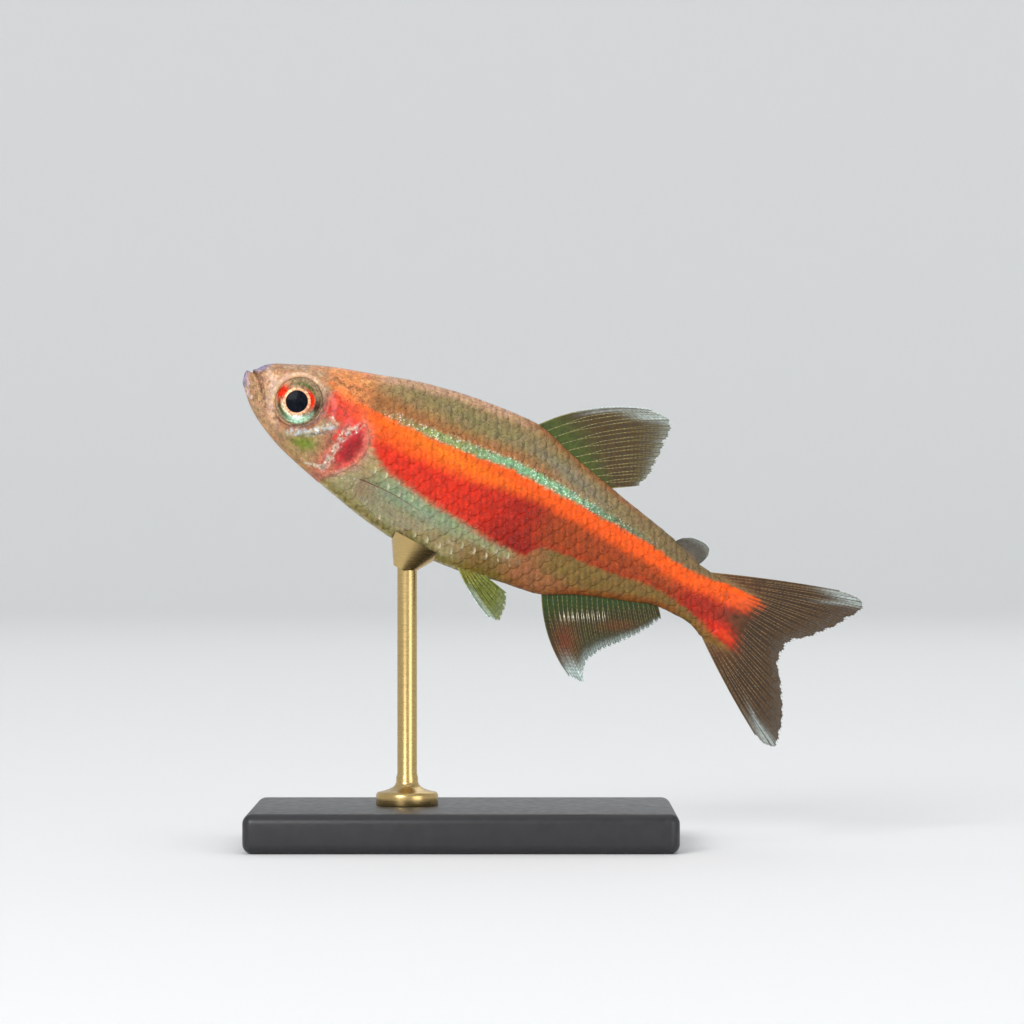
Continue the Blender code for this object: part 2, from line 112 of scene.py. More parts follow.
# Distance to a line of (x, z) points: its size, its side (above 0 to the left of the line's way),
# and the share of the line's length at the nearest place
def alongLine(x, z, points, steps=60):
    line = lineThrough(points)(np.linspace(0, 1, steps))
    best = np.full(np.shape(x), 1e9)
    side, share = np.zeros(np.shape(x)), np.zeros(np.shape(x))
    for i, (a, b) in enumerate(zip(line[:-1], line[1:])):
        run = b - a
        t = np.clip(((x - a[0]) * run[0] + (z - a[1]) * run[1]) / (run @ run), 0, 1)
        dx, dz = x - a[0] - t * run[0], z - a[1] - t * run[1]
        away = np.hypot(dx, dz)
        nearer = away < best
        best = np.where(nearer, away, best)
        side = np.where(nearer, np.sign(run[0] * dz - run[1] * dx), side)
        share = np.where(nearer, (i + t) / (steps - 1), share)
    return best, side, share


def linear(rgb):
    c = np.array(rgb, float) / 255
    return np.where(c <= 0.04045, c / 12.92, ((c + 0.055) / 1.055) ** 2.4)


def overlaid(base, over, mask):
    return base + (over - base) * mask[..., None]


def blended(base, rgb, mask):
    return overlaid(base, linear(rgb), np.clip(mask, 0, 1))


# Layers over a colour, one after another: a tone's name, its strength and its mask
def painted(colour, tones, layers):
    for name, strength, mask in layers:
        colour = blended(colour, tones[name], strength * mask)
    return colour


def plain(rgb, like):
    return np.broadcast_to(linear(rgb), like.shape + (3,)).copy()


# Smooth noise from -1 to 1 at each place, with lumps of about the given size
def lumps(places, size, shift=0.0):
    flat = (np.asarray(places, float) / size + shift).reshape(-1, 3).tolist()
    return np.array([noise.noise(p) for p in flat]).reshape(np.shape(places)[:-1])


# Outlines of the body, as in the solids
body = {
    "back": [(-0.05, 0.36), (0.1, 0.72), (0.35, 1.0), (1.1, 1.65), (2.0, 2.1), (4.0, 3.03), (7.0, 4.05),
             (10.0, 5.0), (13.5, 5.68), (17.0, 6.0), (20.0, 5.3), (24.0, 4.45), (27.7, 3.72),
             (30.0, 3.05), (33.0, 2.75), (34.0, 2.45)],
    "belly": [(-0.05, 0.24), (0.05, -0.15), (0.3, -0.5), (1.2, -1.35), (2.0, -1.85), (4.0, -2.7),
              (8.0, -3.65), (11.0, -4.2), (14.0, -4.45), (17.0, -4.2), (19.5, -3.62), (21.9, -3.2),
              (24.0, -2.15), (27.0, -1.0), (29.0, -0.38), (30.5, -0.35), (32.0, -0.62), (33.0, -0.76),
              (34.0, -0.6)],
    "halfWidth": [(-0.05, 0.12), (0.3, 0.55), (1.0, 0.98), (2.0, 1.35), (4.0, 1.75), (7.0, 2.05),
                  (10.0, 2.15), (14.0, 2.1), (18.0, 1.8), (22.0, 1.32), (26.0, 0.92), (30.0, 0.64),
                  (33.0, 0.3), (34.0, 0.02)],
    "widestLevel": [(-0.05, 0.3), (3.0, 0.3), (8.0, 0.2), (14.0, 0.4), (20.0, 0.8), (26.0, 1.2),
                    (30.0, 1.35), (33.0, 0.85), (34.0, 0.9)],
    "backSharpness": 1.12, "bellySharpness": 0.92,
    "snout": -0.05, "fleshEnd": 33.9, "endRounding": 1.3, "roundedFrom": 31.0,
    "middleLine": [(0.0, 0.3), (8.5, 0.6), (16.0, 1.0), (24.0, 1.3), (34.0, 1.0)],
}
back, belly, halfWidth, widestLevel, middleLine = [
    curveThrough(body[name]) for name in ("back", "belly", "halfWidth", "widestLevel", "middleLine")]


# How far the outline reaches from the widest level, above or below it, and how sharp it is there
def outlineFrom(x, above):
    level = widestLevel(x)
    return (np.where(above, back(x) - level, level - belly(x)),
            np.where(above, body["backSharpness"], body["bellySharpness"]))


# A place on the body: turn is 0 under the belly, a quarter turn on the right flank, half on the back
def onBody(x, turn):
    rise, sine = -np.cos(turn), np.sin(turn)
    reach, sharpness = outlineFrom(x, rise > 0)
    side = np.sign(sine) * np.abs(sine) ** sharpness
    roundedEnd = body["endRounding"] * smooth(x, body["roundedFrom"], body["fleshEnd"]) * rise**4
    return np.stack([x - roundedEnd, halfWidth(x) * side, widestLevel(x) + reach * rise], -1)


def flankAt(x, z):
    reach, sharpness = outlineFrom(x, z > widestLevel(x))
    rise = np.clip(np.abs(z - widestLevel(x)) / reach, 0, 1)
    return halfWidth(x) * np.sqrt(1 - rise * rise) ** sharpness


# Lines of the head in the side view, and how the eyes are set
head = {
    "gillLine": [(7.2, 5.2), (7.35, 3.0), (7.5, 1.7), (8.3, 0.75), (8.75, -0.2), (8.6, -1.2),
                 (8.05, -2.15), (7.2, -3.0), (6.5, -4.6)],
    "cheekEdge": [(7.75, 1.05), (7.45, 0.3), (7.1, -0.5), (6.95, -1.5), (6.85, -2.45), (6.3, -2.9)],
    "mouthLine": [(-0.8, 0.66), (0.4, 0.66), (0.95, 0.3), (1.9, -0.75), (2.7, -1.35)],
    "upperJawBone": [(0.72, 0.9), (1.15, 0.1), (1.95, -1.05)],
    "eyeBone": [(6.25, 0.15), (5.75, -0.6), (5.0, -1.25), (4.1, -1.6)],
    "nostrils": [(1.6, 1.25, 0.13), (1.98, 1.5, 0.15)],
    "eyeCentre": (3.65, 0.4), "eyeRadius": 1.47, "eyeDepth": 0.05,
    "slopeReach": 1.2, "yaw": 0.6, "pitch": 0.8,
}
eyeX, eyeZ = head["eyeCentre"]


# Distance ahead of one of the head's lines, below 0 behind it, and the share along the line
def aheadOf(x, z, name):
    away, side, share = alongLine(x, z, head[name])
    return away * np.where(side < 0, 1, -1), share


# The eye's own frame: its centre, and the ways out of the head, tailward and up
def eyeFrame(sign):
    reach = head["slopeReach"]
    slopeX = (flankAt(eyeX + reach, eyeZ) - flankAt(eyeX - reach, eyeZ)) / (2 * reach)
    slopeZ = (flankAt(eyeX, eyeZ + reach) - flankAt(eyeX, eyeZ - reach)) / (2 * reach)
    out = Vector((-slopeX * head["yaw"], 1.0, -slopeZ * head["pitch"])).normalized()
    tailward = (Vector((1, 0, 0)) - out * out.x).normalized()
    centre = (eyeX, flankAt(eyeX, eyeZ) - head["eyeDepth"], eyeZ)
    return [np.array(each) * [1, sign, 1] for each in (centre, out, tailward, tailward.cross(out))]


relief = {
    "coverLift": 0.06, "coverGroove": 0.07, "cheekStep": 0.05, "lip": 0.07, "mouthGroove": 0.2,
    "upperLipBack": 0.14, "lowerLipOut": 0.06, "jawBone": 0.05, "jawBoneHalf": (0.17, 0.26), "fineLine": 0.03,
    "orbitRim": 0.05, "ringLevel": -0.13, "ringPull": 0.75, "socketDepth": 0.55,
    "nostrilRim": 0.05, "nostrilPit": 0.13,
}


# How far the skin stands out from the plain body, in the side view
def reliefAt(x, z):
    ahead, share = aheadOf(x, z, "gillLine")
    lifted = relief["coverLift"] * smooth(ahead, 1.6, 0.15) * smooth(ahead, -0.06, 0.06)
    groove = relief["coverGroove"] * smooth(-ahead, -0.04, 0.08) * smooth(-ahead, 0.9, 0.08)
    out = (lifted - groove) * smooth(share, 0.12, 0.3) * smooth(share, 0.95, 0.78)

    ahead, share = aheadOf(x, z, "cheekEdge")
    step = relief["cheekStep"] * smooth(share, 0, 0.12) * smooth(share, 1.0, 0.85)
    out += step * smooth(ahead, 0.9, 0.1) * smooth(ahead, -0.06, 0.04)
    out -= step * 0.8 * bell(ahead + 0.1, 0.07)

    away, _, share = alongLine(x, z, head["mouthLine"])
    out -= relief["mouthGroove"] * smooth(share, 0.86, 0.5) * bell(away, 0.055 + 0.035 * (x < 0.6))
    out -= relief["upperLipBack"] * smooth(x, 0.75, 0.1) * smooth(z, 0.64, 0.74)
    out += relief["lowerLipOut"] * smooth(x, 0.4, 0.05) * smooth(z, 0.66, 0.5)
    out += relief["lip"] * smooth(share, 0.75, 0.35) * bell(away - 0.17, 0.11)

    away, _, share = alongLine(x, z, head["upperJawBone"])
    front, rear = relief["jawBoneHalf"]
    overEdge = away - front - (rear - front) * share
    out += relief["jawBone"] * smooth(overEdge, 0.05, -0.03)
    out -= relief["fineLine"] * bell(overEdge - 0.05, 0.05)
    out += relief["fineLine"] * bell(alongLine(x, z, head["eyeBone"])[0], 0.16)

    fromEye = np.hypot(x - eyeX, z - eyeZ)
    out += relief["orbitRim"] * bell(fromEye - 1.6, 0.1) - relief["fineLine"] * bell(fromEye - 1.85, 0.12)
    for cx, cz, radius in head["nostrils"]:
        r = np.hypot(x - cx, z - cz) / radius
        out += relief["nostrilRim"] * bell(r - 1.25, 0.25) - relief["nostrilPit"] * smooth(r, 1.0, 0.55)
    return out


# The skin of one side settles to a flat ring round the eye, and sinks under the eyeball
def settleRoundEye(places, sign):
    centre, out, tailward, up = eyeFrame(sign)
    here = places[..., 1] * sign > 0.2
    fromCentre, radius = places - centre, head["eyeRadius"]
    r = np.hypot(fromCentre @ tailward, fromCentre @ up)
    pull = (relief["ringLevel"] - fromCentre @ out) * relief["ringPull"] * smooth(r, 2.5, 1.5)
    sunk = relief["socketDepth"] * smooth(r, radius - 0.02, radius - 0.09)
    return places + ((pull - sunk) * here)[..., None] * out


# The unwrap that skin and scales share: u along the fish, v the arc from the middle line.
# The left side's island is the lower one. Both are at one scale.
unwrap = {"perMillimetre": 0.0275, "start": 0.03, -1: 0.27, 1: 0.74, "past": 1.3, "steps": 241}


def unwrapOf(x, turn, sign):
    fine = np.linspace(-unwrap["past"], math.pi + unwrap["past"], unwrap["steps"])
    ring = onBody(np.full(fine.shape, float(x)), fine)
    arcs = np.concatenate([[0], np.cumsum(np.linalg.norm(np.diff(ring, axis=0), axis=1))])
    flank = (fine > 0.1) & (fine < math.pi - 0.1)
    middle = np.interp(middleLine(x), ring[flank, 2], arcs[flank])
    v = unwrap[sign] + (np.interp(turn, fine, arcs) - middle) * unwrap["perMillimetre"]
    u = unwrap["start"] + (x - body["snout"]) * unwrap["perMillimetre"]
    return np.stack([np.full(v.shape, u), v], -1)


# Mesh helpers
def meshFrom(name, verts, faces):
    mesh = bpy.data.meshes.new(name)
    mesh.from_pydata([tuple(v) for v in verts], [], [tuple(f) for f in faces])
    mesh.update()
    return mesh


# The faces of a grid of points, row by row. A closed one joins its last column to the first.
def gridFaces(rows, columns, closed=False):
    i, k = np.meshgrid(np.arange(rows - 1), np.arange(columns if closed else columns - 1), indexing="ij")
    n = (k + 1) % columns
    corners = [i * columns + k, (i + 1) * columns + k, (i + 1) * columns + n, i * columns + n]
    return np.stack(corners, -1).reshape(-1, 4)


# Closed rings of points, joined to a surface, with a pole at each end
def ringSurface(name, rings, firstPole, lastPole):
    count, last = len(rings[0]), (len(rings) - 1) * len(rings[0])
    verts = [firstPole, *[p for ring in rings for p in ring], lastPole]
    faces = []
    for k in range(1, count + 1):
        n = k % count + 1
        faces.append([0, k, n])
        faces += [[i + k, i + count + k, i + count + n, i + n] for i in range(0, last, count)]
        faces.append([last + k, len(verts) - 1, last + n])
    mesh = meshFrom(name, verts, faces)
    setOutward(mesh)
    return mesh


def setOutward(mesh):
    bm = bmesh.new()
    bm.from_mesh(mesh)
    bmesh.ops.recalc_face_normals(bm, faces=bm.faces)
    bm.to_mesh(mesh)
    bm.free()


def placed(name, data):
    obj = bpy.data.objects.new(name, data)
    bpy.context.scene.collection.objects.link(obj)
    return obj


def showPiece(name, mesh, material, slot, *nodes):
    obj = placed(name, mesh)
    mesh.shade_smooth()
    mesh.materials.clear()
    mesh.materials.append(material)
    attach(obj, "root")
    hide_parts(*nodes)


def addColour(mesh, name, rgb, alpha=1.0):
    full = np.ones((len(mesh.vertices), 4), np.float32)
    full[:, :3], full[:, 3] = rgb, alpha
    mesh.color_attributes.new(name, "FLOAT_COLOR", "POINT").data.foreach_set("color", full.ravel())


def addValue(mesh, name, values):
    layer = mesh.attributes.new(name, "FLOAT", "POINT")
    layer.data.foreach_set("value", np.asarray(values, np.float32).ravel())


# Markings, the same for skin and scales, from the place in the side view.
# Colours are sRGB, 0 to 255.
markings = {
    "stripeTop": [(5.0, 1.95), (9.0, 2.05), (12.0, 2.2), (15.0, 2.5), (17.0, 2.75), (20.0, 2.8),
                  (26.0, 2.72), (30.0, 2.48), (32.0, 2.75), (34.0, 2.9)],
    "stripeFoot": [(5.0, 0.35), (8.6, 0.1), (10.0, -0.7), (12.0, -1.1), (14.0, -1.3), (16.0, -1.45),
                   (18.0, -1.65), (20.2, -1.5), (20.7, -0.7), (21.4, -0.4), (25.0, 0.0), (28.0, 0.5),
                   (31.0, 0.15), (34.0, -0.7)],
    "glowWidth": [(8.0, 0.25), (10.0, 0.45), (17.0, 0.6), (21.0, 0.5), (27.0, 0.3), (30.0, 0.1)],
    "backTan": (152, 124, 78), "backRear": (124, 102, 66), "backGreen": (130, 120, 78),
    "backBlue": (124, 118, 98), "nape": (206, 128, 74), "overStripe": (162, 98, 48),
    "ridgeHighlight": (218, 164, 130), "ridgeRear": (166, 100, 58), "glowFront": (134, 148, 84),
    "glowMiddle": (116, 166, 120), "glowRear": (80, 116, 84), "stripeOrange": (246, 86, 2),
    "stripeGold": (250, 116, 2), "stripeRed": (214, 38, 4), "stripeDeep": (146, 20, 0),
    "stripeBrown": (158, 64, 12), "stripeBorder": (166, 54, 8), "bellyGreen": (152, 144, 96),
    "bellyTeal": (128, 152, 116), "bellyPink": (160, 134, 92), "bellyGoldReflection": (128, 108, 28),
    "underRear": (126, 96, 44), "vent": (156, 96, 54), "bellyPale": (196, 182, 134),
    "tailDull": (168, 34, 8), "tailRed": (214, 28, 6), "tailOrange": (228, 80, 6), "tailDark": (96, 46, 22),
    "forehead": (164, 122, 86), "snout": (204, 154, 118), "paleSkin": (222, 186, 162),
    "napeLight": (230, 150, 88), "topDark": (110, 82, 56), "napeDark": (104, 66, 36),
    "headRed": (208, 56, 26), "headOrange": (236, 116, 48), "headDeep": (196, 28, 28),
    "crimson": (142, 0, 8), "crimsonBright": (206, 14, 34), "gillRed": (182, 20, 32),
    "gillBrown": (132, 76, 50), "gillPink": (174, 98, 74), "gillEdge": (196, 140, 112),
    "cheekGreen": (108, 122, 34), "silver": (206, 210, 188), "silverBlue": (190, 214, 226),
    "silverDark": (60, 70, 76), "jawTan": (162, 128, 88), "jawDark": (88, 62, 42),
    "paleLip": (214, 184, 180), "lipViolet": (140, 144, 192), "eyeRing": (214, 180, 150),
    "underEye": (146, 78, 54), "eyeShade": (84, 44, 34), "throatGold": (140, 114, 40),
    "throatOrange": (188, 124, 70), "mouthGapShade": (84, 44, 40),
}
stripeTop, stripeFoot, glowWidth = [
    curveThrough(markings[name]) for name in ("stripeTop", "stripeFoot", "glowWidth")]


def marked(x, ground, layers):
    return painted(plain(markings[ground], x), markings, layers)


def backColour(x, z):
    overTop, underRidge = z - stripeTop(x), back(x) - z
    return marked(x, "backTan", [
        ("backRear", 1, smooth(x, 19, 29)),
        ("backGreen", 0.8, spot(x, z, (14.0, 4.4), (4.5, 0.8))),
        ("overStripe", 0.85, smooth(overTop, 1.7, 0.7) * smooth(x, 24, 17)),
        # a pale pink band along the ridge at the front: a painted highlight
        ("ridgeHighlight", 0.7, smooth(underRidge, 0.75, 0.25) * smooth(x, 18, 15)),
        ("backBlue", 0.8, spot(x, z, (20.5, 4.1), (3.2, 0.5), -10)),
        ("ridgeRear", 0.7, smooth(underRidge, 0.5, 0.1) * smooth(x, 15.5, 17.5) * smooth(x, 27, 23))])


def bellyColour(x, z):
    overEdge = z - belly(x)
    return marked(x, "bellyGreen", [
        ("bellyTeal", 0.95, spot(x, z, (12.5, -1.9), (4.5, 0.75))),
        ("bellyPink", 0.8, spot(x, z, (14.5, -3.0), (6.0, 0.5))),
        ("bellyPink", 0.9, spot(x, z, (9.2, -1.2), (0.9, 1.4))),
        ("underRear", 1, smooth(x, 15.4, 17.6) * smooth(z, -1.9, -2.6)),
        ("vent", 1, smooth(x, 18.6, 20.3) * smooth(z, 0.2, -0.9)),
        ("underRear", 1, smooth(x, 20.3, 22.0) * smooth(z, -2.3, -1.3)),
        ("underRear", 1, smooth(x, 24.0, 26.0)),
        # a gold band along the belly's edge: a painted green-gold reflection
        ("bellyGoldReflection", 1, smooth(overEdge, 0.7, 0.1) * smooth(x, 21, 18)),
        ("bellyPale", 0.8, smooth(overEdge, 0.28, 0.0) * smooth(x, 21, 17)),
        ("stripeBrown", 0.5, smooth(overEdge, 0.55, 0.2) * smooth(x, 22, 24) * smooth(x, 31, 29))])


# An orange upper band, and below it red, deep red and then a dull brown
def stripeColour(x, z):
    below = marked(x, "stripeRed", [
        ("stripeDeep", 0.75, smooth(x, 14.5, 19.5)),
        ("stripeBrown", 0.9, smooth(x, 18.8, 21.6) * smooth(z, -1.2, -0.2)),
        ("stripeDeep", 0.9, spot(x, z, (19.0, -1.0), (1.5, 0.6))),
        ("stripeBorder", 0.8, smooth(x, 20.5, 21.5) * smooth(z - stripeFoot(x), 0.5, 0.15)),
        ("tailDull", 1, smooth(x, 28.5, 30.5))])
    band = marked(x, "stripeOrange", [("stripeGold", 0.9, spot(x, z, (13.0, 1.8), (4.0, 0.5)))])
    bandFoot = stripeTop(x) - 1.0 - 0.5 * smooth(x, 20, 15)
    return overlaid(below, band, smooth(z, bandFoot - 0.4, bandFoot + 0.4))


def bodyColour(x, z):
    top, foot, soft = stripeTop(x), stripeFoot(x), 0.12 + 0.16 * smooth(x, 20, 18)
    colour = overlaid(bellyColour(x, z), backColour(x, z), smooth(z, top - 0.1, top + 0.12))
    inStripe = smooth(z, foot - soft, foot + soft) * smooth(z, top + 0.1, top - 0.1)
    colour = overlaid(colour, stripeColour(x, z), inStripe)
    glow = between(z - top, 0.06, glowWidth(x), 0.12) * smooth(x, 8.2, 12.5) * smooth(x, 29, 23)
    tone = marked(x, "glowFront", [("glowMiddle", 1, smooth(x, 13, 17)), ("glowRear", 1, smooth(x, 20, 25))])
    # the tail's root, with an orange and a red lobe and a dark notch between them
    return painted(overlaid(colour, tone, glow * 0.95), markings, [
        ("tailOrange", 1.1, spot(x, z, (32.8, 2.2), (1.2, 0.42))),
        ("tailRed", 1.2, spot(x, z, (32.9, 0.1), (1.0, 0.45))),
        ("tailOrange", 0.5, spot(x, z, (33.3, 0.0), (0.6, 0.3))),
        ("underRear", 0.4, spot(x, z, (31.4, -0.5), (0.9, 0.25))),
        ("tailDark", 1.2, spot(x, z, (33.8, 1.1), (1.3, 0.6)))])


# Strokes painted on the head: (x, z) points, half width, colour, strength and how broken they are. The pale
# strokes are partly pale skin and partly painted highlight.
headStrokes = [
    ([(0.1, 1.15), (0.7, 1.6), (1.3, 2.0)], 0.2, "topDark", 0.7, 0.3),
    ([(1.3, 1.9), (3.0, 2.75), (5.0, 3.55), (7.2, 4.3)], 0.17, "topDark", 0.75, 0.4),
    ([(2.0, 1.9), (3.0, 2.3), (4.1, 2.5)], 0.2, "paleSkin", 0.5, 0.8),
    ([(3.4, 2.6), (4.4, 2.9), (5.2, 3.1)], 0.25, "napeLight", 0.5, 0.8),
    ([(4.7, 3.05), (5.7, 3.15), (6.8, 3.35)], 0.35, "napeLight", 0.9, 0.9),
    ([(5.2, 2.35), (6.2, 2.5), (7.4, 2.6)], 0.3, "napeLight", 0.8, 1.0),
    ([(5.0, 2.7), (5.8, 2.55), (6.6, 2.75)], 0.16, "napeDark", 0.7, 1.0),
    ([(4.9, 2.3), (5.6, 2.15), (6.3, 2.3)], 0.14, "headOrange", 0.9, 0.6),
    ([(0.75, 0.75), (1.2, 0.15), (1.75, -0.55), (2.15, -1.25)], 0.18, "jawDark", 0.6, 1.0),
    ([(0.55, 0.3), (0.8, -0.2), (1.2, -0.75)], 0.2, "jawDark", 0.5, 1.0),
    ([(0.2, 0.1), (0.45, -0.35), (0.9, -0.85)], 0.1, "paleLip", 0.8, 0.4),
    # pale cream on the snout: a painted highlight
    ([(1.2, 1.2), (1.75, 0.75), (2.0, 0.2)], 0.25, "paleSkin", 0.8, 0.5),
    ([(1.9, -0.2), (2.4, -0.9), (3.1, -1.5)], 0.22, "paleSkin", 0.6, 0.7),
    ([(2.2, -1.95), (4.0, -2.6), (6.2, -3.1)], 0.3, "throatOrange", 0.6, 0.8),
    ([(3.0, -1.9), (4.2, -2.2), (5.4, -2.5)], 0.25, "jawTan", 0.6, 0.8),
    ([(5.45, 0.75), (6.2, 0.95), (7.2, 0.75)], 0.2, "headDeep", 0.8, 0.7),
    ([(6.4, 0.1), (6.5, -0.8), (6.3, -1.8)], 0.16, "gillBrown", 0.7, 0.9),
    ([(6.75, 0.5), (6.7, 0.0), (6.6, -0.6)], 0.16, "headDeep", 0.9, 0.4),
    ([(7.35, -0.1), (7.3, -1.0), (7.1, -2.0)], 0.14, "gillBrown", 0.6, 0.9),
    ([(5.95, 0.45), (6.4, 0.25)], 0.12, "silver", 0.8, 0.8),
    ([(6.2, -0.05), (5.75, -0.5), (5.1, -1.0), (4.1, -1.5)], 0.27, "silverBlue", 1.0, 0.85),
    ([(6.1, -0.4), (5.6, -0.85), (4.9, -1.25)], 0.07, "silverDark", 0.9, 0.8),
    ([(7.8, 0.95), (7.6, 0.55), (7.1, -0.1), (6.95, -1.1), (6.95, -1.9), (6.85, -2.5)], 0.26,
     "silver", 1.0, 1.0),
    ([(6.85, -2.45), (6.3, -2.65), (5.7, -2.75)], 0.11, "silver", 0.9, 0.9),
    ([(8.05, -1.95), (8.5, -2.15), (9.0, -2.2)], 0.15, "silver", 0.75, 0.9),
    ([(7.7, -2.4), (8.3, -2.5), (8.9, -2.55)], 0.12, "silver", 0.6, 0.9),
    ([(8.0, 0.75), (8.5, 0.1), (8.6, -0.7), (8.2, -1.5), (7.6, -2.2)], 0.15, "crimsonBright", 0.95, 0.2),
    ([(7.55, 0.35), (7.75, 0.0)], 0.12, "crimsonBright", 0.8, 0.3),
]
silvery, silverCover, strokeSteps = ("silver", "silverBlue"), 0.5, 24


def headColour(places, x, z):
    fromEye = np.hypot(x - eyeX, z - eyeZ)
    below = smooth(x - z, 2.6, 4.2)
    colour = marked(x, "jawTan", [
        ("snout", 1, spot(x, z, (1.9, 1.2), (2.0, 0.9), 30)),
        ("snout", 0.7, spot(x, z, (2.4, -1.1), (1.2, 0.6), -25)),
        ("forehead", 1, smooth(z - back(x), -0.9, -0.3) * smooth(x, 6.5, 4)),
        ("nape", 1, smooth(x, 3.9, 5.4) * smooth(z, 1.9, 2.3)),
        ("throatGold", 0.9, smooth(z - belly(x), 0.5, 0.05) * smooth(x, 3.0, 6.0)),
        ("gillPink", 0.9, smooth(x, 5.7, 6.6) * smooth(z, 0.7, -0.1)),
        ("headRed", 1, smooth(x, 4.8, 5.5) * between(z, 0.35, 1.95, 0.3)),
        ("headOrange", 0.8, smooth(x, 5.2, 6.2) * bell(z - 2.0, 0.3)),
        ("underEye", 0.8, spot(x, z, (5.75, 0.25), (0.45, 0.2))),
        ("cheekGreen", 1.15, spot(x, z, (5.1, -1.75), (0.85, 0.42), 20)),
        ("gillRed", 1.9, spot(x, z, (7.95, -0.45), (0.72, 1.7), -12)),
        ("crimson", 1.6, spot(x, z, (8.0, -0.55), (0.4, 1.3), -10)),
        ("gillEdge", 0.9, spot(x, z, (8.3, -2.2), (0.8, 0.45), 10)),
        ("eyeShade", 0.95, between(fromEye, 1.5, 1.66, 0.06) * below),
        ("underEye", 0.7, between(fromEye, 1.66, 1.86, 0.08) * below),
        ("eyeRing", 0.8, between(fromEye, 1.56, 1.74, 0.07) * (1 - below))])
    for points, width, name, strength, broken in headStrokes:
        away = alongLine(x, z, points, strokeSteps)[0]
        gaps = 1 - broken * smooth(lumps(places, 0.21, len(name) + points[0][0]), 0.3, -0.25)
        strength = strength * (silverCover if name in silvery else 1)
        colour = blended(colour, markings[name], smooth(away, width * 1.3, width * 0.3) * strength * gaps)
    lowerLip = smooth(x + 0.2 * z, 0.42, 0.0) * smooth(z, 0.7, 0.6) * smooth(z, -0.75, -0.3)
    upperLip = smooth(z - back(x), -0.62, -0.25) * smooth(x, 1.4, 0.7) * smooth(z, 0.7, 0.8)
    away, _, share = alongLine(x, z, head["mouthLine"])
    return painted(colour, markings, [
        ("lipViolet", 1, (lowerLip + upperLip) * (0.62 + 0.25 * lumps(places, 0.25, 3))),
        # a painted shade in the gap between the lips, at the mouth's front
        ("mouthGapShade", 0.85, bell(away, 0.05) * smooth(share, 0.4, 0.28))])


def coatOf(places):
    ragged = (lumps(places, 0.2)[..., None] * [0.12, 0, 0.14]
              + lumps(places, 0.8, 7.3)[..., None] * [0.1, 0, 0.08])
    x, z = (places + ragged)[..., 0], (places + ragged)[..., 2]
    ahead, share = aheadOf(x, z, "gillLine")
    # over the gill opening, head and body run into each other
    overGill = smooth(z, 0.6, 1.5)
    behind = smooth(-ahead, -0.12, 0.22) * (1 - overGill) + smooth(x, 6.0, 8.4) * overGill
    colour = overlaid(headColour(places, x, z), bodyColour(x, z), behind)
    edge = bell(ahead, 0.3) * smooth(share, 0.25, 0.5) * smooth(share, 0.9, 0.75)
    return blended(colour, markings["gillEdge"], edge * 0.6)


# The share of dark specks at each place
def specksOf(x, z):
    lift = (z - belly(x)) / (back(x) - belly(x))
    specks = (0.05 + 0.24 * smooth(lift, 0.55, 0.85) * smooth(x, 1, 7)
              + 0.8 * spot(x, z, (1.2, 0.1), (0.4, 1.3), 32) + 0.2 * spot(x, z, (5.8, 2.5), (0.8, 0.35))
              + 0.2 * spot(x, z, (6.6, -1.0), (0.8, 1.6)) * (x < 8))
    inStripe = between(z, stripeFoot(x), stripeTop(x), 0.15) * smooth(x, 8, 10)
    dull = smooth(x, 17, 21) * smooth(x, 32, 30.5) * smooth(z, 1.7, 1.2)
    glow = between(z - stripeTop(x), 0.1, glowWidth(x), 0.1) * smooth(x, 8, 10)
    return np.clip(specks * (1 - 0.85 * inStripe) * (1 - 0.2 * glow) + 0.35 * inStripe * dull, 0, 1)


# How silvery each place is: it sets the metal and the painted glitter of the coat
def shineOf(places, x, z):
    glow = between(z - stripeTop(x), 0.02, glowWidth(x) + 0.1, 0.12) * smooth(x, 8.0, 9.6) * smooth(x, 28, 22)
    shine = 0.04 + 0.95 * glow + 0.18 * spot(x, z, (13.5, -2.5), (5.5, 1.2))
    patchy = smooth(lumps(places, 0.27, 10), -0.15, 0.3)
    for points, width, name, strength, _ in headStrokes:
        if name in silvery:
            away = alongLine(x, z, points, strokeSteps)[0]
            shine = shine + smooth(away, width * 1.5, width * 0.4) * strength * patchy
    return np.clip(shine, 0, 1)


# Node helpers: an input that is given a socket is linked to it, any other value is set
def feed(tree, node, inputs):
    for key, value in dict(inputs).items():
        if isinstance(value, bpy.types.NodeSocket):
            tree.links.new(value, node.inputs[key])
        else:
            node.inputs[key].default_value = value


def addNode(tree, kind, inputs=(), **settings):
    node = tree.nodes.new(kind)
    for name, value in settings.items():
        setattr(node, name, value)
    feed(tree, node, inputs)
    return node


def mathNode(tree, operation, *values):
    return addNode(tree, "ShaderNodeMath", enumerate(values), operation=operation).outputs[0]


# The value, the range it comes from and the range it goes to
def rangeNode(tree, *values):
    names = ("Value", "From Min", "From Max", "To Min", "To Max")
    return addNode(tree, "ShaderNodeMapRange", zip(names, values)).outputs["Result"]


# Shader helpers
def newMaterial(name, finish):
    material = bpy.data.materials.new(name)
    material.use_nodes = True
    shader = material.node_tree.nodes["Principled BSDF"]
    feed(material.node_tree, shader, finish)
    return material, material.node_tree, shader


def mixColours(tree, factor, first, second, blend="MIX"):
    inputs = {0: factor, 6: first, 7: second}
    return addNode(tree, "ShaderNodeMix", inputs, data_type="RGBA", blend_type=blend).outputs[2]


# A colour times a grey light
def lit(tree, colour, light):
    grey = addNode(tree, "ShaderNodeCombineColor", enumerate([light] * 3)).outputs["Color"]
    return mixColours(tree, 1.0, colour, grey, "MULTIPLY")


def texture(tree, kind, place, scale, more=()):
    return addNode(tree, "ShaderNodeTex" + kind, {"Vector": place, "Scale": scale, **dict(more)})


def attribute(tree, name):
    return addNode(tree, "ShaderNodeAttribute", attribute_name=name).outputs


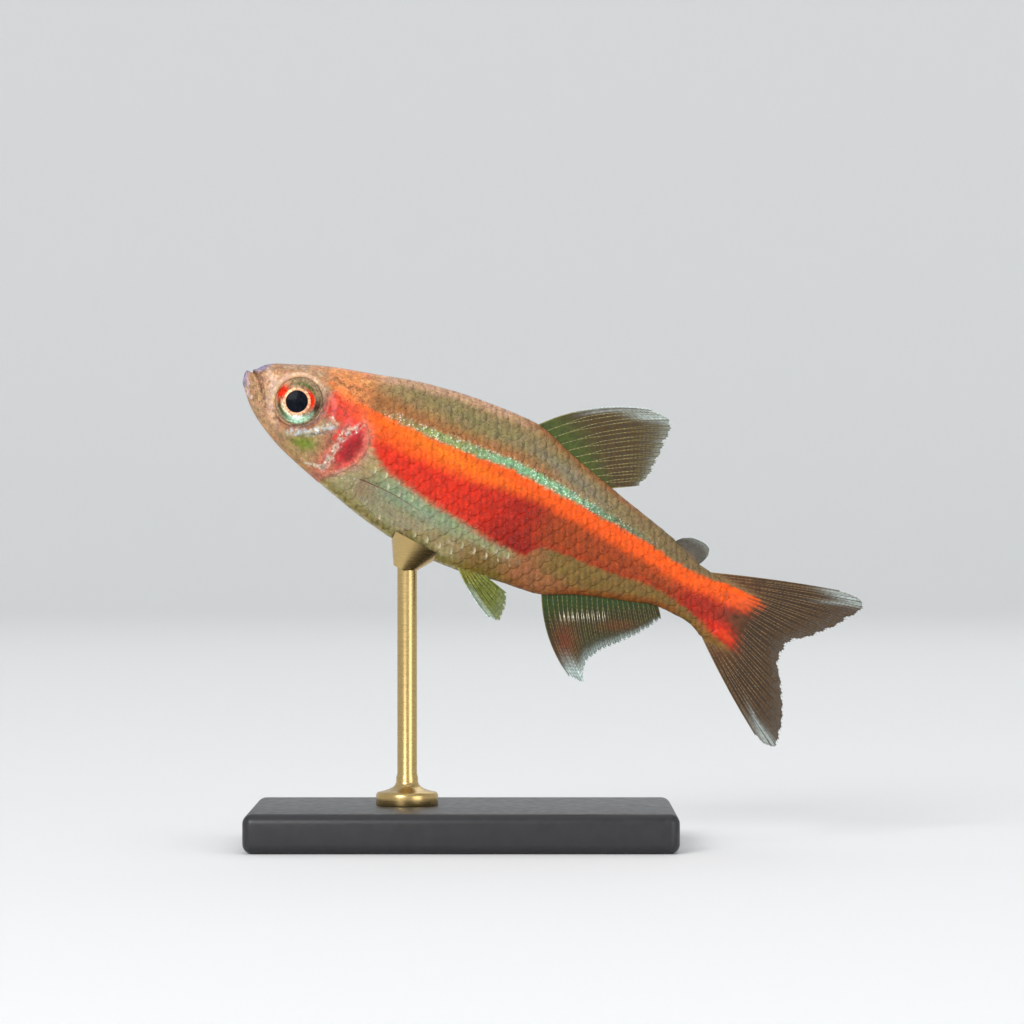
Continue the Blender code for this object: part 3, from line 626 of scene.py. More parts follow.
def addBump(tree, shader, height, strength, distance):
    bump = addNode(tree, "ShaderNodeBump", {"Strength": strength, "Distance": distance, "Height": height})
    feed(tree, shader, {"Normal": bump.outputs["Normal"]})


def objectCoordinates(tree):
    return addNode(tree, "ShaderNodeTexCoord").outputs["Object"]


# Object coordinates turned into the fish's own frame, in millimetres
def fishCoordinates(tree):
    inputs = {"Vector": objectCoordinates(tree), "Location": pose["snout"],
              "Rotation": (0, pose["noseUp"], 0), "Scale": (pose["millimetre"],) * 3}
    return addNode(tree, "ShaderNodeMapping", inputs, vector_type="TEXTURE").outputs["Vector"]


coatFinish = {
    "speckSize": 0.1, "grainSize": 0.12, "speckColour": (52, 32, 20), "mottleScale": 5.0, "slowScale": 2.2,
    "patchScale": 3.4, "fineScale": 7, "streakLength": 0.55, "streakLean": math.radians(25),
    "mottleLight": (0.74, 1.26), "cellLight": (0.92, 1.08), "slowLight": (0.86, 1.16),
    "patchLight": (-0.2, 0.2), "streakLight": (-0.12, 0.1), "sparkle": (0.5, 0.56, 0.52, 1),
    "roughSpread": (-0.08, 0.12), "silverMetal": 0.6, "bumpHeight": 0.00004,
    "backPigment": 0.14, "rearPigment": 0.13, "glintShine": 0.3,
    "drift": {"Red": (0.95, 1.05), "Green": (0.91, 1.09), "Blue": (0.86, 1.14)},
    "skin": {"roughness": 0.42, "bump": 0.25, "coat": 0.14},
    "scale": {"roughness": 0.5, "bump": 0.2, "coat": 0.08},
    "shared": {"Specular IOR Level": 0.22, "Coat Roughness": 0.2, "Subsurface Weight": 0.12,
               "Subsurface Radius": (1.0, 0.45, 0.25), "Subsurface Scale": 0.0004},
}


# The wet coat of skin and scales: markings from the piece's attribute, dark pigment cells, a
# painted glitter of small bright ones, and the faint slant of the muscles, all in the fish's frame
def coatMaterial(name, kind):
    look, own = coatFinish, coatFinish[kind]
    material, tree, shader = newMaterial(name, {**look["shared"], "Coat Weight": own["coat"]})
    place = fishCoordinates(tree)

    def channels(socket, kind="Color"):
        return addNode(tree, "ShaderNodeSeparate" + kind, {0: socket}).outputs

    def times(first, second):
        return mathNode(tree, "MULTIPLY", first, second)

    def onePlus(value):
        return mathNode(tree, "ADD", value, 1.0)

    # fine mottling, with the odd small cell a little lighter or darker, and a drifting hue
    onTrunk = rangeNode(tree, channels(place, "XYZ")["X"], 7, 11, 0, 1)
    grain = texture(tree, "Voronoi", place, 1 / look["grainSize"])
    tone = channels(grain.outputs["Color"])
    mottle = texture(tree, "Noise", place, look["mottleScale"], {"Detail": 5, "Roughness": 0.75})
    slow = texture(tree, "Noise", place, look["slowScale"], {"Detail": 5})
    patches = texture(tree, "Noise", place, look["patchScale"], {"Detail": 6})
    light = times(rangeNode(tree, mottle.outputs["Fac"], 0.3, 0.7, *look["mottleLight"]),
                  rangeNode(tree, tone["Red"], 0, 1, *look["cellLight"]))
    light = times(light, rangeNode(tree, slow.outputs["Fac"], 0.3, 0.7, *look["slowLight"]))
    patch = times(rangeNode(tree, patches.outputs["Fac"], 0.35, 0.65, *look["patchLight"]),
                  mathNode(tree, "SUBTRACT", 1.0, onTrunk))
    varied = lit(tree, attribute(tree, "coat")["Color"], times(light, onePlus(patch)))
    drift = channels(slow.outputs["Color"])
    hue = addNode(tree, "ShaderNodeCombineColor", {
        channel: rangeNode(tree, drift[channel], 0.3, 0.7, *span) for channel, span in look["drift"].items()})
    varied = mixColours(tree, 1.0, varied, hue.outputs["Color"], "MULTIPLY")

    slant = addNode(tree, "ShaderNodeMapping", {"Vector": place, "Rotation": (0, look["streakLean"], 0)})
    streaks = texture(tree, "Wave", slant.outputs["Vector"], 0.5 / look["streakLength"],
                      {"Detail": 2, "Distortion": 1.2, "Detail Scale": 1.5})
    band = times(rangeNode(tree, streaks.outputs["Fac"], 0, 1, *look["streakLight"]), onTrunk)
    varied = lit(tree, varied, onePlus(band))

    # silvery cells where the attribute asks for them: they get some metal, and a painted glitter added to
    # their colour
    chosen = times(rangeNode(tree, tone["Blue"], 0.4, 0.9, 0, 1),
                   rangeNode(tree, grain.outputs["Distance"], 0.25, 0.6, 1, 0.1))
    silver = times(attribute(tree, "shine")["Fac"], chosen)
    varied = mixColours(tree, silver, varied, mixColours(tree, 1.0, varied, look["sparkle"], "ADD"))

    cells = texture(tree, "Voronoi", place, 1 / look["speckSize"])
    cellTone = channels(cells.outputs["Color"])["Green"]
    picked = mathNode(tree, "LESS_THAN", cellTone, attribute(tree, "specks")["Fac"])
    dark = times(picked, rangeNode(tree, cells.outputs["Distance"], 0.2, 0.5, 0.75, 0.0))
    rough = [own["roughness"] + spread for spread in look["roughSpread"]]
    feed(tree, shader, {
        "Base Color": mixColours(tree, dark, varied, (*linear(look["speckColour"]), 1)),
        "Metallic": times(silver, look["silverMetal"]),
        "Roughness": rangeNode(tree, tone["Green"], 0, 1, *rough)})
    fine = texture(tree, "Noise", place, look["fineScale"], {"Detail": 3})
    height = mathNode(tree, "ADD", fine.outputs["Fac"], grain.outputs["Distance"])
    addBump(tree, shader, height, own["bump"], look["bumpHeight"])
    return material


# Puts the markings on a mesh as attributes. Scales bring their rear edges, whole and upper half,
# for the pigment along them and for the painted glints.
def dressCoat(mesh, edges=None):
    flat = np.zeros(len(mesh.vertices) * 3)
    mesh.vertices.foreach_get("co", flat)
    places = toFish(flat.reshape(-1, 3))
    x, z = places[:, 0], places[:, 2]
    colour, shine = coatOf(places), shineOf(places, x, z)
    if edges is not None:
        whole, upper = edges
        backRows = smooth(z - stripeTop(x), 0.6, 1.0) * smooth(x, 8, 10)
        rearRows = smooth(x, 17, 20) * smooth(z, 1.6, 1.0)
        dark = np.maximum(backRows * coatFinish["backPigment"], rearRows * coatFinish["rearPigment"])
        pigment = whole * dark * smooth(x, 32, 30)
        # painted glints: light dashes on the upper half of the rear edges low on the flank
        glints = upper * glintZone(x, z) * smooth(lumps(places, 0.9, 4.4), -0.6, -0.1)
        colour = blended(colour * (1 - pigment)[:, None], scaleRows["glintColour"], glints)
        shine = np.maximum(shine, glints * coatFinish["glintShine"])
    addColour(mesh, "coat", colour)
    addValue(mesh, "specks", specksOf(x, z))
    addValue(mesh, "shine", shine)


# Rows of scales low on the flank whose rear edges get painted glints
def glintZone(x, z):
    nearest = np.min([alongLine(x, z, line)[0] for line in scaleRows["glintLines"]], axis=0)
    return smooth(nearest, 0.5, 0.25)


# 1 along the rear edge of each scale, from its own local places, and the upper half of that edge
def rearEdges(mesh):
    local = np.zeros(len(mesh.vertices) * 3)
    mesh.attributes["local"].data.foreach_get("vector", local)
    x, y, _ = local.reshape(-1, 3).T
    whole = smooth(x, 0.3, 0.75) * smooth(np.abs(y), 0.85, 0.45)
    return whole, smooth(x, 0.66, 0.86) * between(y, -0.05, 0.85, 0.15)


skinShape = {"headStations": 240, "bodyStations": 240, "headEnd": 9.5, "sides": 200, "flankCrowding": 0.22,
             "snoutPole": 0.03, "tailPole": 0.02, "poleU": 0.003}


def makeSkin():
    s, count = skinShape, skinShape["sides"]
    stations = np.concatenate([
        np.linspace(body["snout"], s["headEnd"], s["headStations"], endpoint=False),
        np.linspace(s["headEnd"], body["fleshEnd"], s["bodyStations"])])
    turns = np.arange(count + 1) * 2 * math.pi / count
    turns = turns + s["flankCrowding"] * np.sin(2 * turns)
    grid = onBody(*np.meshgrid(stations, turns[:-1], indexing="ij"))
    around = np.roll(grid, -1, axis=1) - np.roll(grid, 1, axis=1)
    normal = np.cross(around, np.gradient(grid, axis=0))
    normal /= np.maximum(np.linalg.norm(normal, axis=-1, keepdims=True), 1e-12)
    outward = np.sign((normal * (grid - grid.mean(axis=1, keepdims=True))).sum(-1, keepdims=True))
    grid = grid + normal * outward * reliefAt(grid[..., 0], grid[..., 2])[..., None]
    for sign in (-1, 1):
        grid = settleRoundEye(grid, sign)
    poles = [grid[0].mean(axis=0) - [s["snoutPole"], 0, 0], grid[-1].mean(axis=0) + [s["tailPole"], 0, 0]]

    # each corner's place on the unwrap: the seam runs under the belly and over the back
    corners = np.zeros((len(stations), count + 1, 2, 2))
    for row, x in enumerate(stations):
        corners[row, :, 0] = unwrapOf(x, np.clip(turns, 0, math.pi), 1)
        corners[row, :, 1] = unwrapOf(x, np.clip(2 * math.pi - turns, 0, math.pi), -1)
    quads = gridFaces(len(stations), count, closed=True)
    turn = quads % count
    turn[:, 2:] = turn[:, :1] + 1
    uv = corners[quads // count, turn, (turn[:, :1] >= count // 2).astype(int)].reshape(-1, 2)
    faces, caps = quads.tolist(), []
    last, snoutPole = (len(stations) - 1) * count, len(stations) * count
    for side in range(count):
        after, half = (side + 1) % count, int(side >= count // 2)
        faces += [[snoutPole, side, after], [snoutPole + 1, last + after, last + side]]
        for row, pair, way in ((0, [side, side + 1], -1), (-1, [side + 1, side], 1)):
            ends = corners[row, pair, half]
            caps += [[ends[0, 0] + way * s["poleU"], corners[row, [0, count // 2], half, 1].mean()], *ends]
    mesh = meshFrom("skin", toRow(np.vstack([grid.reshape(-1, 3), poles])), faces)
    mesh.uv_layers.new(name="OFBake").data.foreach_set("uv", np.vstack([uv, caps]).ravel())
    dressCoat(mesh)
    showPiece("skin", mesh, coatMaterial("wetSkin", "skin"), "flesh", "head", "lower_jaw", "gill_cover_left",
              "gill_cover_right", "trunk", "tail_stalk")
    print("stage: skin")


# Geometry Nodes helpers. A tree's named inputs are set by the identifiers of their sockets.
def newTree(name, inputs):
    tree = bpy.data.node_groups.new(name, "GeometryNodeTree")
    for way in ("INPUT", "OUTPUT"):
        tree.interface.new_socket("Geometry", in_out=way, socket_type="NodeSocketGeometry")
    ids = {}
    for kind, names in inputs.items():
        for each in names:
            socket = tree.interface.new_socket(each, in_out="INPUT", socket_type="NodeSocket" + kind)
            ids[each] = socket.identifier
    return tree, ids, addNode(tree, "NodeGroupInput").outputs


def finishTree(tree, geometry, material):
    dressed = addNode(tree, "GeometryNodeSetMaterial", {"Geometry": geometry, "Material": material})
    addNode(tree, "NodeGroupOutput", {0: dressed.outputs[0]})


def namedAttribute(tree, name, kind="FLOAT"):
    node = addNode(tree, "GeometryNodeInputNamedAttribute", {"Name": name}, data_type=kind)
    return node.outputs["Attribute"]


def storeAttribute(tree, geometry, name, kind, domain, value):
    inputs = {"Geometry": geometry, "Name": name, "Value": value}
    return addNode(tree, "GeometryNodeStoreNamedAttribute", inputs, data_type=kind, domain=domain).outputs[0]


# The mesh that a tree makes from another one
def treeMesh(name, mesh, tree, ids, values):
    obj = placed(name, mesh)
    modifier = obj.modifiers.new("tree", "NODES")
    modifier.node_group = tree
    for each, value in values.items():
        modifier[ids[each]] = value
    bpy.context.view_layer.update()
    made = bpy.data.meshes.new_from_object(obj.evaluated_get(bpy.context.evaluated_depsgraph_get()))
    obj.modifiers.clear()
    bpy.data.objects.remove(obj)
    made.name = name
    made.materials.clear()
    return made


# Inputs of the scales' tree: the flat ones are scaled to the unwrap, the raised ones to the body
scaleRows = {
    "flat": {"Pitch Along": 0.8, "Pitch Around": 0.66, "Length": 1.28, "Height": 1.22},
    "raised": {"Sink": -0.014, "Rise": 0.032, "Thickness": 0.008},
    "plain": {"Columns": 42, "Rows": 21, "Verts Along": 8, "Verts Around": 8, "Bake Patch": 0.003,
              "Size Spread": 0.05, "Seed": 11},
    # the colour of the painted glints on the scales' rear edges
    "start": 6.4, "crossing": 0.12, "glintColour": (236, 222, 180),
    "glintLines": [[(10.4, -3.2), (13.0, -3.5), (16.2, -3.3)], [(15.8, -2.75), (19.8, -2.1)],
                   [(10.0, -1.2), (13.0, -1.75)]],
    "bedStart": 5.0, "bedEnd": 32.3, "bedStations": 300, "bedTurns": 130, "margin": {-1: 0.03, 1: -0.06},
}


# Scales laid in rows on the unwrap of one side, then carried on to the body by that unwrap
def scaleTree():
    tree, ids, given = newTree("overlapping scales", {
        "Float": ("Pitch Along", "Pitch Around", "Length", "Height", "Sink", "Rise", "Thickness",
                  "Bake Patch", "Size Spread"),
        "Int": ("Columns", "Rows", "Verts Along", "Verts Around", "Seed"),
        "Vector": ("Start",), "Material": ("Material",)})

    def calc(operation, *values):
        return mathNode(tree, operation, *values)

    def times(first, second):
        return calc("MULTIPLY", first, second)

    def half(value):
        return times(value, 0.5)

    def vector(*values):
        return addNode(tree, "ShaderNodeCombineXYZ", enumerate(values)).outputs[0]

    def parts(socket):
        return addNode(tree, "ShaderNodeSeparateXYZ", {0: socket}).outputs

    def vectorMath(operation, inputs):
        return addNode(tree, "ShaderNodeVectorMath", inputs, operation=operation).outputs[0]

    # one root for each scale, every second row half a scale back
    index = addNode(tree, "GeometryNodeInputIndex").outputs[0]
    position = addNode(tree, "GeometryNodeInputPosition").outputs[0]
    row = calc("FLOOR", calc("DIVIDE", calc("ADD", index, 0.5), given["Columns"]))
    column = calc("SUBTRACT", index, times(row, given["Columns"]))
    u = times(calc("ADD", column, half(calc("MODULO", row, 2.0))), given["Pitch Along"])
    v = times(calc("SUBTRACT", row, half(calc("SUBTRACT", given["Rows"], 1.0))), given["Pitch Around"])
    roots = addNode(tree, "GeometryNodePoints", {
        "Count": times(given["Columns"], given["Rows"]),
        "Position": vectorMath("ADD", {0: vector(u, v), 1: given["Start"]})})

    # a value of the bed, at the place on the unwrap where the tree's points lie
    def sampled(kind, value):
        node = addNode(tree, "GeometryNodeSampleUVSurface", {
            "Mesh": given["Geometry"], "UV Map": namedAttribute(tree, "unroll", "FLOAT_VECTOR"),
            "Sample UV": position}, data_type=kind)
        tree.links.new(value, [s for s in node.inputs if s.name == "Value" and s.enabled][0])
        return [s for s in node.outputs if s.enabled][0]

    bare = addNode(tree, "FunctionNodeCompare", {0: sampled("FLOAT", namedAttribute(tree, "bed")), 1: 0.5},
                   data_type="FLOAT", operation="LESS_THAN")
    kept = addNode(tree, "GeometryNodeDeleteGeometry",
                   {"Geometry": roots.outputs[0], "Selection": bare.outputs[0]}, domain="POINT")
    rooted = storeAttribute(tree, kept.outputs[0], "root", "FLOAT_VECTOR", "POINT", position)

    # one scale: a thin closed disc, with its local place kept for the lift and the bake
    def rounded(value, other):
        return times(value, calc("SQRT", calc("SUBTRACT", 1.0, half(times(other, other)))))

    plate = addNode(tree, "GeometryNodeMeshCube", {
        "Size": (2, 2, 2), "Vertices X": given["Verts Along"], "Vertices Y": given["Verts Around"],
        "Vertices Z": 2})
    px, py, pz = parts(position)
    roundX, roundY = rounded(px, py), rounded(py, px)
    local = storeAttribute(tree, plate.outputs["Mesh"], "local", "FLOAT_VECTOR", "POINT",
                           vector(roundX, roundY, pz))
    flat = addNode(tree, "GeometryNodeSetPosition", {
        "Geometry": local,
        "Position": vector(times(roundX, half(given["Length"])), times(roundY, half(given["Height"])))})

    size = addNode(tree, "FunctionNodeRandomValue", {"Seed": given["Seed"]}, data_type="FLOAT")
    ends = [s for s in size.inputs if s.enabled and s.type == "VALUE"]
    for socket, operation in zip(ends, ("SUBTRACT", "ADD")):
        tree.links.new(calc(operation, 1.0, given["Size Spread"]), socket)
    instances = addNode(tree, "GeometryNodeInstanceOnPoints", {
        "Points": rooted, "Instance": flat.outputs[0], "Scale": [s for s in size.outputs if s.enabled][0]})
    real = addNode(tree, "GeometryNodeRealizeInstances", {"Geometry": instances.outputs[0]})

    # on to the body
    lx, ly, lz = parts(namedAttribute(tree, "local", "FLOAT_VECTOR"))
    lift = calc("ADD", given["Sink"], times(given["Rise"], half(calc("ADD", lx, 1.0))))
    crown = times(half(calc("ADD", lz, 1.0)), given["Thickness"])
    height = times(calc("ADD", lift, crown), sampled("FLOAT", namedAttribute(tree, "relief")))
    height = calc("SUBTRACT", height, sampled("FLOAT", namedAttribute(tree, "under")))
    normal = sampled("FLOAT_VECTOR", addNode(tree, "GeometryNodeInputNormal").outputs[0])
    onto = addNode(tree, "GeometryNodeSetPosition", {
        "Geometry": real.outputs[0], "Position": sampled("FLOAT_VECTOR", position),
        "Offset": vectorMath("SCALE", {0: normal, "Scale": height})})

    patch = half(given["Bake Patch"])
    baked = vectorMath("ADD", {0: namedAttribute(tree, "root", "FLOAT_VECTOR"),
                               1: vector(times(lx, patch), times(ly, patch))})
    mapped = storeAttribute(tree, onto.outputs[0], "OFBake", "FLOAT2", "CORNER", baked)
    finishTree(tree, mapped, given["Material"])
    return tree, ids


# One side of the body as an open sheet, drawn past the belly and back edges, for the scales
def scaleBed(sign):
    s = scaleRows
    stations = np.linspace(s["bedStart"], body["fleshEnd"], s["bedStations"])
    turns = np.linspace(-unwrap["past"], math.pi + unwrap["past"], s["bedTurns"])
    xs, angles = np.meshgrid(stations, turns, indexing="ij")
    grid = onBody(xs, angles) * [1, sign, 1]
    corners = gridFaces(len(stations), len(turns))[:, ::-sign]
    mesh = meshFrom("scaleBed", toRow(grid.reshape(-1, 3)), corners.tolist())
    unrolled = np.concatenate([unwrapOf(x, turns, sign) for x in stations])
    mesh.uv_layers.new(name="unroll").data.foreach_set("uv", unrolled[corners].ravel())

    x, z = grid[..., 0], grid[..., 2]
    behindGill, behindNape = -aheadOf(x, z, "gillLine")[0], x - (7.0 + 0.35 * (z - 3))
    clear = np.where(z > 1.9, behindNape, behindGill) - 0.35
    inside = (angles > -s["margin"][sign]) & (angles < math.pi + s["margin"][sign])
    addValue(mesh, "bed", (clear > 0) & inside & (x < s["bedEnd"]))
    # past the back's and the belly's edge a scale goes down under the other side's
    past = np.maximum(angles - math.pi, -angles)
    addValue(mesh, "under", s["crossing"] * pose["millimetre"] * smooth(past, -0.04, 0.3))
    soft = np.maximum(between(z, stripeFoot(x), stripeTop(x), 0.3), smooth(x, 20, 17) * (z < 0))
    addValue(mesh, "relief", 0.8 - 0.4 * soft)
    return mesh


def makeScales():
    tree, ids = scaleTree()
    material = coatMaterial("wetScale", "scale")
    s, scale = scaleRows, unwrap["perMillimetre"]
    startU = unwrap["start"] + (s["start"] - body["snout"]) * scale
    inputs = {**{each: value * scale for each, value in s["flat"].items()},
              **{each: value * pose["millimetre"] for each, value in s["raised"].items()},
              **s["plain"], "Material": material}
    for name, sign in (("scales_left", -1), ("scales_right", 1)):
        inputs["Start"] = (startU, unwrap[sign], 0.0)
        mesh = treeMesh(name, scaleBed(sign), tree, ids, inputs)
        setOutward(mesh)
        dressCoat(mesh, rearEdges(mesh))
        showPiece(name, mesh, material, "flesh", "trunk")
        print("stage:", name, len(mesh.polygons), "faces")


# Eyes
eyeLook = {
    "rings": 90, "segments": 160, "bulge": 0.27, "edgeDrop": 0.34, "edgeTurn": 0.1, "outer": 1.47,
    "rimShare": 0.96, "rimDepth": -0.65, "rearDepth": -0.7, "pupilShift": (-0.05, -0.1),
    "pupilBlack": (18, 21, 28), "pinkRing": (244, 180, 138), "redPatch": (216, 44, 18),
    "topTan": (152, 128, 98), "topGreen": (90, 108, 60), "darkRim": (58, 34, 28), "glint": (250, 252, 240),
    "lowerCream": (238, 224, 184), "lowerGreen": (84, 116, 78), "lowerSilver": (176, 224, 190),
    "outerOlive": (134, 118, 94), "frontTan": (200, 164, 126),
    "fleckScale": 9, "fleckLight": (0.58, 1.35), "irisMetal": 0.2, "bump": 0.15, "bumpHeight": 0.00003,
    "finish": {"Roughness": 0.3, "Specular IOR Level": 0.02, "Coat Weight": 0.04, "Coat Roughness": 0.04},
}


def irisColour(x, z):
    px, pz = x - eyeLook["pupilShift"][0], z - eyeLook["pupilShift"][1]
    r, fromPupil = np.hypot(x, z), np.hypot(px, pz)
    angle = np.degrees(np.arctan2(pz, px))  # 0 tailward, 90 up

    def near(centre, width):
        return bell((angle - centre + 180) % 360 - 180, width)

    return painted(plain(eyeLook["topTan"], x), eyeLook, [
        ("frontTan", 1, near(180, 40) * smooth(r, 1.0, 1.2)),
        ("topGreen", 0.9, near(80, 40) * between(fromPupil, 1.02, 1.25, 0.07)),
        ("lowerGreen", 1, near(-100, 55) * between(fromPupil, 0.95, 1.2, 0.08)),
        ("lowerSilver", 1, near(-62, 30) * between(fromPupil, 0.92, 1.32, 0.08)),
        ("lowerSilver", 0.7, near(-20, 22) * between(fromPupil, 1.05, 1.3, 0.06)),
        ("darkRim", 1, near(12, 26) * between(r, 1.02, 1.36, 0.08)),
        ("darkRim", 0.8, near(-140, 26) * between(r, 1.12, 1.3, 0.07)),
        ("redPatch", 1.3, near(174, 24) * smooth(fromPupil, 1.5, 1.2)),
        ("redPatch", 1.3, near(34, 34) * smooth(fromPupil, 1.16, 1.0)),
        ("lowerCream", 1, near(-120, 34) * between(fromPupil, 0.8, 0.98, 0.05)),
        # painted glints: a catch light below the pupil towards the rear, and a white arc at its lower front
        ("glint", 1.4, spot(x, z, (0.36, -0.92), (0.26, 0.15), 25)),
        ("glint", 1.2, spot(x, z, (-0.42, -0.78), (0.24, 0.06), -35)),
        ("outerOlive", 0.7, smooth(r, 1.32, 1.44)),
        ("pinkRing", 1, between(fromPupil, 0.68, 0.84, 0.04)),
        ("pupilBlack", 1, smooth(fromPupil, 0.71, 0.66))])


def eyeMaterial():
    e = eyeLook
    material, tree, shader = newMaterial("wetEye", e["finish"])
    fleck = texture(tree, "Voronoi", fishCoordinates(tree), e["fleckScale"])
    tone = addNode(tree, "ShaderNodeSeparateColor", {0: fleck.outputs["Color"]}).outputs["Red"]
    light = rangeNode(tree, tone, 0, 1, *e["fleckLight"])
    feed(tree, shader, {
        "Base Color": lit(tree, attribute(tree, "iris")["Color"], light),
        "Metallic": rangeNode(tree, attribute(tree, "pupil")["Fac"], 0, 1, e["irisMetal"], 0.0)})
    addBump(tree, shader, fleck.outputs["Distance"], e["bump"], e["bumpHeight"])
    return material


def makeEyes():
    e = eyeLook
    material = eyeMaterial()
    share = np.append(np.arange(1, e["rings"] + 1) / e["rings"], e["rimShare"])
    height = e["bulge"] - e["edgeDrop"] * share**2 - e["edgeTurn"] * share**14
    height[-1] = e["rimDepth"]
    r, angles = np.meshgrid(share * e["outer"], np.arange(e["segments"]) * 2 * math.pi / e["segments"],
                            indexing="ij")
    rings = np.stack([r * np.cos(angles), r * np.sin(angles), height[:, None] + 0 * r], -1)
    local = np.vstack([[0, 0, e["bulge"]], rings.reshape(-1, 3), [0, 0, e["rearDepth"]]])
    fromPupil = np.hypot(local[:, 0] - e["pupilShift"][0], local[:, 1] - e["pupilShift"][1])
    for side, sign in (("left", -1), ("right", 1)):
        centre, out, tailward, up = eyeFrame(sign)
        verts = toRow(centre + local @ np.array([tailward, up, out]))
        mesh = ringSurface(f"eyeball_{side}", verts[1:-1].reshape(rings.shape), verts[0], verts[-1])
        addColour(mesh, "iris", irisColour(local[:, 0], local[:, 1]))
        addValue(mesh, "pupil", smooth(fromPupil, 0.72, 0.64))
        showPiece(f"eyeball_{side}", mesh, material, "eye", f"eye_{side}")
    print("stage: eyes")


# Fins: roots and tips of the rays as in the solids, drawn finer, with branched and jointed rays
fins = {
    "dorsal": dict(roots=[(16.8, 5.4), (19.8, 4.8), (22.4, 4.3)],
                   tips=[(22.9, 10.05), (24.0, 10.05), (24.5, 9.5), (24.6, 8.0), (24.65, 6.7), (24.4, 5.6)],
                   bow=(0.65, 0.0), rays=11),
    "adipose": dict(roots=[(27.8, 3.2), (29.6, 2.7)],
                    tips=[(28.3, 4.05), (28.8, 4.3), (29.4, 4.36), (29.95, 4.2), (30.1, 3.8)],
                    bow=(0.1, -0.1), rays=0),
    "anal": dict(roots=[(22.0, -2.6), (24.2, -1.6), (28.6, -0.1)],
                 tips=[(26.1, -6.75), (27.0, -6.6), (26.6, -5.6), (26.9, -4.7), (27.8, -3.5),
                       (28.7, -2.3), (29.4, -1.0)],
                 bow=(-0.5, 0.0), rays=24),
    "caudal": dict(roots=[(30.2, 2.7), (32.2, 2.4), (32.7, 1.5), (32.7, 0.2), (32.2, -0.3), (31.2, -0.05)],
                   tips=[(38.2, 5.68), (39.3, 5.8), (40.0, 5.5), (39.3, 4.1), (38.1, 2.5), (36.9, 1.15),
                         (36.9, 0.4), (38.0, -1.4), (38.9, -3.1), (39.25, -4.5), (38.7, -4.78),
                         (37.8, -4.55)],
                   bow=(0.1, -0.15), rays=23),
    "pelvic": dict(roots=[(16.6, -3.6), (17.8, -3.5)],
                   tips=[(20.1, -5.95), (20.7, -5.75), (20.65, -4.95), (20.3, -4.0)],
                   bow=(-0.25, 0.0), rays=8),
    "pectoral": dict(roots=[(8.9, -2.1), (8.95, -2.8)],
                     tips=[(13.4, -2.05), (14.9, -2.4), (14.7, -2.9), (13.4, -3.35), (11.8, -3.6)],
                     bow=(0.15, -0.1), rays=11),
}
finPlaces = {"pelvicSide": 0.62, "pelvicSplay": math.radians(20), "pectoralSplay": math.radians(12),
             "pectoralGap": 0.58, "pectoralBend": 1.7, "rootSink": 0.06}
finBuild = {
    "rowsAlong": 40, "columnsPerRay": 12, "fewestGaps": 6, "rootHalf": 0.018, "edgeHalf": 0.005,
    "adiposeHalf": (0.22, 0.03), "notch": 0.34, "rayRoot": 0.036, "rayTip": 0.014, "firstBranch": 0.2,
    "secondBranch": 0.45, "branchShares": (0.2, 0.13), "branchSizes": (1.25, 1.0, 0.85, 0.8),
    "pectoralInner": 0.45, "jointLength": 0.24, "raySides": 6, "pointsPerJoint": 4,
}
finTones = {
    "dorsal": dict(root=(66, 80, 26), middle=(72, 54, 24), tip=(84, 76, 52), ray=(146, 138, 88),
                   density=(0.96, 0.9, 0.72)),
    "adipose": dict(root=(122, 94, 66), middle=(76, 70, 58), tip=(104, 106, 96), ray=(130, 120, 80),
                    density=(0.95, 0.8, 0.7)),
    "anal": dict(root=(38, 62, 12), middle=(46, 42, 10), tip=(54, 62, 52), ray=(112, 106, 62),
                 density=(0.98, 0.96, 0.84)),
    "caudal": dict(root=(92, 56, 28), middle=(58, 40, 22), tip=(70, 54, 36), ray=(132, 104, 68),
                   density=(0.97, 0.94, 0.78)),
    "pelvic": dict(root=(124, 116, 28), middle=(88, 96, 22), tip=(112, 124, 84), ray=(150, 152, 84),
                   density=(0.85, 0.78, 0.62)),
    "pectoral": dict(root=(186, 140, 112), middle=(150, 156, 130), tip=(150, 156, 136), ray=(150, 150, 122),
                     density=(0.16, 0.05, 0.04)),
}
finFinish = {
    "membrane": {"Roughness": 0.42, "Specular IOR Level": 0.25, "Coat Weight": 0.08, "Coat Roughness": 0.2},
    "mottleScale": 3.5, "mottleLight": (0.72, 1.25), "mottleDensity": (0.85, 1.15),
    "bump": 0.2, "bumpHeight": 0.00003,
    "ray": {"Roughness": 0.4, "Specular IOR Level": 0.3}, "rayScale": 6, "rayLight": (0.65, 1.3),
}
# White places of the fins: strength, centre, radii and lean
whiteSpots = {
    "caudal": [(1, (39.2, 5.55), (1.7, 0.3), 8), (1, (38.6, -4.45), (1.3, 0.3), -25),
               (0.5, (38.4, 4.9), (1.2, 0.12), 22), (0.5, (37.6, -3.9), (1.2, 0.12), -38)],
    "dorsal": [(1, (23.0, 9.6), (1.3, 0.25), 20)], "anal": [(1, (26.3, -6.4), (1.0, 0.4), -30)],
}
finMarks = {"white": (212, 228, 224), "analRust": (104, 36, 6), "analDash": (236, 226, 196),
            "dashLine": [(24.0, -3.7), (26.2, -2.5)], "dashHalf": 0.24, "pectoralFront": (112, 70, 52)}


def finPlane(spec, share, along):
    root, tip = spec["rootAt"](share), spec["tipAt"](share)
    ray = tip - root
    outward = np.stack([-ray[..., 1], ray[..., 0]], -1) / np.linalg.norm(ray, axis=-1, keepdims=True)
    bow = spec["bow"][0] * (1 - share) ** 2 + spec["bow"][1] * share**2
    bend = root + ray / 2 + 2 * outward * bow[..., None]
    s = along[..., None]
    return root * (1 - s) ** 2 + bend * 2 * s * (1 - s) + tip * s * s


